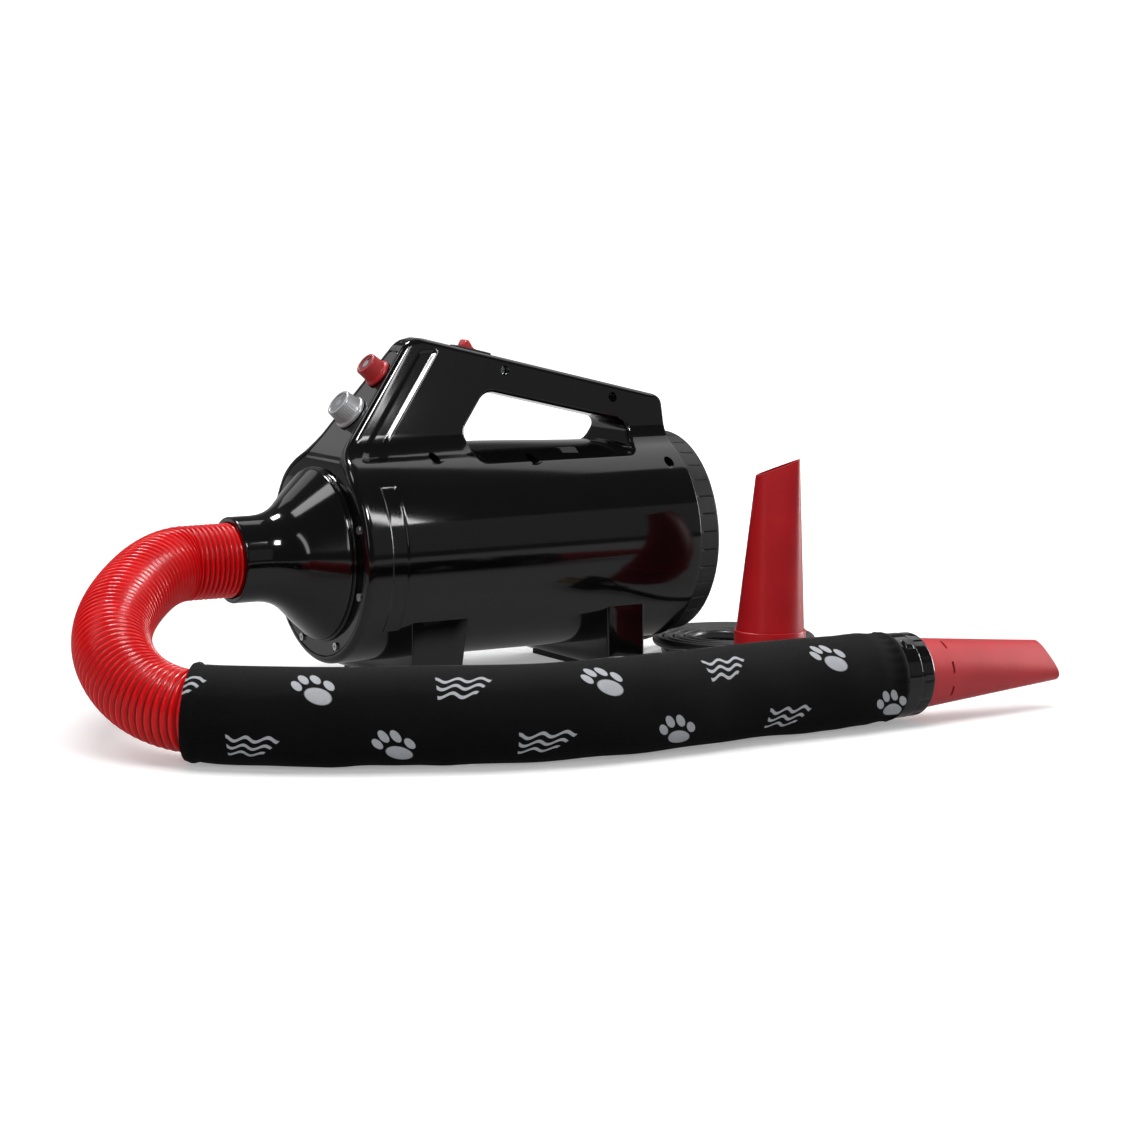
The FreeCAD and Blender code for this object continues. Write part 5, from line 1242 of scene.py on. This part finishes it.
def makePanel():
    # bent plate in the pocket: 6.2 inside the housing's outline and 3 thick
    b = body
    skin = Skin()
    turns = np.linspace(-math.pi / 2, joinTurn, 90)[:-1]
    top = 258.2
    upZ = np.concatenate([np.linspace(joinZ, top - 0.6, 120), [top - 0.25, top]])
    topIn = np.concatenate([np.zeros(120), [0.25, 0.9]])
    y, ny, nz = section.at(upZ)
    y = np.concatenate([b["radius"] * np.cos(turns), y - topIn])
    ny = np.concatenate([np.cos(turns), ny])
    nz = np.concatenate([np.sin(turns), nz])
    z = np.concatenate([b["axisZ"] + b["radius"] * np.sin(turns), upZ])
    rows = []
    for inset, depth in ((6.2, 3.4), (6.2, 1.05), (6.32, 0.65), (6.6, 0.45), (7.0, 0.4)):
        height = np.minimum(z - nz * inset, top)
        rows.append(np.stack([frontLine(depth, height), -(y - ny * inset), height], -1))

    # the plate's face closes in on a line round the outlet and up its middle
    outlet, closing = 54.0, 26
    ring = np.concatenate([turns, np.linspace(joinTurn, math.pi / 2, closing)])
    climb = np.linspace(b["axisZ"] + outlet, top, len(upZ) - closing + 1)[1:]
    target = np.stack([-outlet * np.cos(ring), b["axisZ"] + outlet * np.sin(ring)], -1)
    target = np.concatenate([target, np.stack([np.zeros(len(climb)), climb], -1)])
    edgeYZ = rows[-1][:, 1:]
    for s in np.linspace(0, 1, 26)[1:]:
        flat = edgeYZ + (target - edgeYZ) * s
        # a moulded line across the plate where it bends
        line = 0.45 * np.exp(-((flat[:, 1] - 178.0) / 0.8) ** 2) * smooth(s, 0.02, 0.08)
        rows.append(np.stack([frontLine(0.4 + line, flat[:, 1]), flat[:, 0], flat[:, 1]], -1))
    grid = np.array(rows)
    grid[:, 0, 1] = 0.0
    skin.addBoth(grid)
    topEdge = grid[1:, -1]
    back = np.stack([frontLine(3.4, topEdge[:, 2]), topEdge[:, 1], topEdge[:, 2]], -1)
    skin.addBoth(np.array([topEdge, back]))
    made = piece("frontPanel", skin.mesh("frontPanel", turnOut=False), "dryer", "black_shell", 40)
    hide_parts("front_panel")


makePanel()


def slab(places, normals, half, edge, middle):
    # an outline in XZ carried across Y, its two flat ends rolled over by an edge radius
    if ((places[0] - middle) * normals[0]).sum() < 0:
        normals = -normals
    side = []
    for angle in np.linspace(0, math.pi / 2, 7):
        flat = places - normals * edge * (1 - math.sin(angle))
        y = np.full(len(flat), -half + edge * (1 - math.cos(angle)))
        side.append(np.stack([flat[:, 0], y, flat[:, 1]], -1))
    cap = np.broadcast_to(np.array([middle[0], -half, middle[1]]), side[0].shape)
    near = [cap, side[0] + (cap - side[0]) * 0.5] + side
    across = [side[-1] * np.array([1, y, 1.0]) for y in (0.5, 0.0)]
    return np.array(near + across + [row * np.array([1, -1, 1.0]) for row in near[::-1]])


# Feet: blocks across the underside with rounded ends; their tops lie inside the barrel
feet = {
    "spans": [(-23.5, 23.5, 0.18), (150.0, 184.0, 0.0)],   # from, to along X, and how far the rear face leans
    "top": 66.0, "bottom": 4.0, "half": 70.0, "edge": 1.8, "nose": 11.0,
}


def makeFeet(f):
    skin = Skin()
    for x0, x1, lean in f["spans"]:
        start = [(x1 - 10, f["top"])]
        corners = [(x1 + lean * 20, f["top"]), (x1 - lean * 30, f["bottom"]), (x0, f["bottom"]),
                   (x0, f["top"])]
        places, normals = roundPath(start + corners + start, [4.0, 2.4, f["nose"], 4.0], 3.0, 9.0)
        skin.add(slab(places, normals, f["half"], f["edge"], np.array([(x0 + x1) / 2, 34.0])))
    return skin.mesh("feet")


# Rocker: red cap, its front half raised, in the bezel on the handle
rocker = {
    "x": 66.0, "half": 4.8, "edge": 1.2,
    "outline": [(0.0, -5.0), (-9.8, -5.0), (-9.6, 3.2), (-8.2, 8.8), (-4.2, 6.6), (0.8, 1.9), (9.8, 1.5),
                (9.8, -5.0), (0.0, -5.0)],
    "radii": [1.3, 3.0, 2.6, 4.0, 6.0, 1.3, 1.3],
}


def makeRocker(k):
    places, normals = roundPath(k["outline"], k["radii"], 0.8, 10.0)
    grid = turnAboutY(slab(places, normals, k["half"], k["edge"], np.array([0.0, -1.0])), body["slope"])
    mesh = Skin().add(grid + np.array([k["x"], 0, handleTop(k["x"])])).mesh("rocker")
    made = piece("rocker", mesh, "rocker", "red_plastic", 40)
    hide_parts("power_rocker")


makeRocker(rocker)

# Screw wells on the near side, cut with plain rods
wells = {
    "places": [(11, 177.5), (88, 240.5), (183, 216.5), (95, 173), (214, 166), (2, 31), (159, 31)],
    "radius": 3.9, "from": -95.0, "floor": -9.0, "columns": 40,
}


def wellsCut(mesh):
    rods = Skin()
    angle = np.linspace(0, 2 * math.pi, wells["columns"], endpoint=False)
    for x, z in wells["places"]:
        rows = []
        for end, r in (("from", 0.0), ("from", wells["radius"]), ("floor", wells["radius"]), ("floor", 0.0)):
            y = wells[end]
            rows.append(np.stack([x + r * np.cos(angle), np.full(len(angle), y), z + r * np.sin(angle)], -1))
        rods.add(np.array(rows), closeColumns=True)
    cutter = bpy.data.objects.new("wellRods", rods.mesh("wellRods"))
    target = bpy.data.objects.new("whole", mesh)
    for made in (cutter, target):
        bpy.context.scene.collection.objects.link(made)
    cut = target.modifiers.new("wells", "BOOLEAN")
    cut.operation = "DIFFERENCE"
    cut.solver = "EXACT"
    cut.object = cutter
    bpy.context.view_layer.update()
    done = bpy.data.meshes.new_from_object(target.evaluated_get(bpy.context.evaluated_depsgraph_get()))
    for made in (cutter, target):
        bpy.data.objects.remove(made)
    return done


def finishHousing():
    # the two halves of the skin are joined where they lie open, the wells cut and the feet set under it
    mesh = makeHousing().mesh("housing", weld=0.01, turnOut=False)
    work = bmesh.new()
    work.from_mesh(mesh)
    bmesh.ops.bridge_loops(work, edges=[e for e in work.edges if e.is_boundary])
    bmesh.ops.recalc_face_normals(work, faces=work.faces)
    work.to_mesh(mesh)
    work.free()
    whole = wellsCut(mesh)
    work = bmesh.new()
    work.from_mesh(whole)
    work.from_mesh(makeFeet(feet))
    work.to_mesh(whole)
    work.free()
    whole.name = "housing"
    made = piece("housing", whole, "dryer", "black_shell", 58)
    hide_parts("housing_left", "housing_right")


finishHousing()
print("housing ready")

# Points of the hose's line in metres, every third one and its end; the list is not kept
(hoseLine * mm)[::3].tolist() + [(hoseLine[-1] * mm).tolist()]

# Stage: pale floor that grows lighter away from the object, plain world, soft lamps
ahead = np.array([-math.sin(math.radians(camera["turn"])), math.cos(math.radians(camera["turn"]))])
aside = np.array([ahead[1], -ahead[0]])
floorCorners = [ahead * run + aside * shift for run, shift in ((-1.35, -5), (-1.35, 5), (40, 14), (40, -14))]
floorData = bpy.data.meshes.new("floor")
floorData.from_pydata([(p[0], p[1], -0.0003) for p in floorCorners], [], [(0, 1, 2, 3)])
floor = bpy.data.objects.new("floor", floorData)
bpy.context.scene.collection.objects.link(floor)


def floorFinish():
    # the camera sees a pale floor; the object sees a greyer one that grows white in the distance
    f = Finish("floor")
    x, y, _ = f.parts(f.place())
    x = x - 0.05
    y = y + 0.1
    far = ((x * x + y * y) ** 0.5).step(0.25, 1.5)
    glow = f.blend(far, shade(0.20, 0.20, 0.20), shade(0.45, 0.45, 0.45))
    pale = f.blend(far, shade(0.30, 0.30, 0.30), shade(1.0, 1.0, 1.0))
    plain = {"Base Color": shade(0.32, 0.32, 0.32), "Roughness": 0.85, "Specular IOR Level": 0.1,
             "Emission Color": glow, "Emission Strength": 1.0}
    f.set(Base_Color=shade(0.82, 0.82, 0.82), Roughness=0.85, Specular_IOR_Level=0.1, Emission_Color=pale,
          Emission_Strength=1.0)
    seen = f.node("ShaderNodeLightPath")
    mixed = f.node("ShaderNodeMixShader", {}, {
        0: seen, 1: f.node("ShaderNodeBsdfPrincipled", {}, plain), 2: f.surface})
    f.show(mixed)
    return f


put(floor, floorFinish())


def fillWorld(name, strength):
    # white for the camera; for the object dim all round, with a white backdrop low behind it
    world = bpy.data.worlds.new(name)
    bpy.context.scene.world = world
    f = Finish(name, world)
    x, y, z = f.parts(f.node("ShaderNodeTexCoord", out="Generated"))
    behind = (x * float(ahead[0]) + y * float(ahead[1])).step(0.35, 0.75)
    low = 1.0 - z.step(0.10, 0.42)
    path = f.node("ShaderNodeLightPath")
    glossy = Socket(f, path.out.node.outputs["Is Glossy Ray"])
    share = path.atLeast(glossy * behind * low * 0.35)
    seen = f.node("ShaderNodeBackground", {}, {"Color": shade(1, 1, 1), "Strength": 1.0})
    dim = f.node("ShaderNodeBackground", {}, {"Color": shade(0.97, 0.98, 1), "Strength": strength})
    f.show(f.node("ShaderNodeMixShader", {}, {0: share, 1: dim, 2: seen}))


fillWorld("studio", 0.10)


def softBox(name, place, aim, size, power, mirrored=True, lights=True):
    data = bpy.data.lights.new(name, "AREA")
    data.shape = "RECTANGLE"
    data.size, data.size_y = size
    data.energy = power
    lamp = bpy.data.objects.new(name, data)
    lamp.location = place
    x, y, z = np.array(aim, float) - np.array(place, float)
    lamp.rotation_euler = (math.pi / 2 + math.atan2(z, math.hypot(x, y)), 0, math.atan2(y, x) - math.pi / 2)
    lamp.visible_glossy = mirrored
    lamp.visible_diffuse = lights
    lamp.visible_camera = False
    bpy.context.scene.collection.objects.link(lamp)


softBox("overhead", (0.0, -0.2, 3.0), (0.05, -0.1, 0.1), (2.4, 2.4), 78, False)
softBox("nearFill", (-1.4, -2.4, 1.5), (0.0, -0.1, 0.1), (1.0, 1.0), 12, False)
softBox("coneGlow", (-1.1, 0.58, 1.65), (-0.1, 0, 0.12), (0.5, 0.5), 5)
softBox("handleGlow", (1.15, 0.45, 1.53), (0.1, 0, 0.24), (1.6, 0.9), 7.5)
softBox("slopeGlow", (-0.53, 1.7, 1.1), (-0.04, 0, 0.22), (0.9, 0.7), 1.7)
softBox("leftEdge", (-1.65, -1.1, 1.0), (0.0, 0, 0.2), (0.2, 1.4), 5)
softBox("rightLow", (1.9, -0.35, 0.4), (0.0, 0, 0.22), (0.5, 0.7), 22, lights=False)
softBox("hoseGlint", (0.06, -1.18, 1.21), (-0.28, -0.1, 0.08), (0.26, 0.26), 22, lights=False)
softBox("hoseShine", (-0.04, 0.68, 1.46), (-0.28, -0.1, 0.08), (0.30, 0.30), 26, lights=False)
softBox("rightEdge", (2.0, 0.0, 0.55), (0.0, 0, 0.2), (0.6, 1.1), 12)
softBox("frontGlow", (1.6, -2.5, 0.9), (0.1, 0, 0.15), (1.8, 1.4), 2)
softBox("neckStreak", (0.175, -0.42, 0.46), (-0.125, -0.03, 0.118), (0.03, 0.2), 0.35)

scene = bpy.context.scene
scene.view_settings.view_transform = "Standard"
scene.view_settings.look = "None"
scene.view_settings.exposure = 0.0
scene.view_settings.gamma = 1.0

print("scene ready")
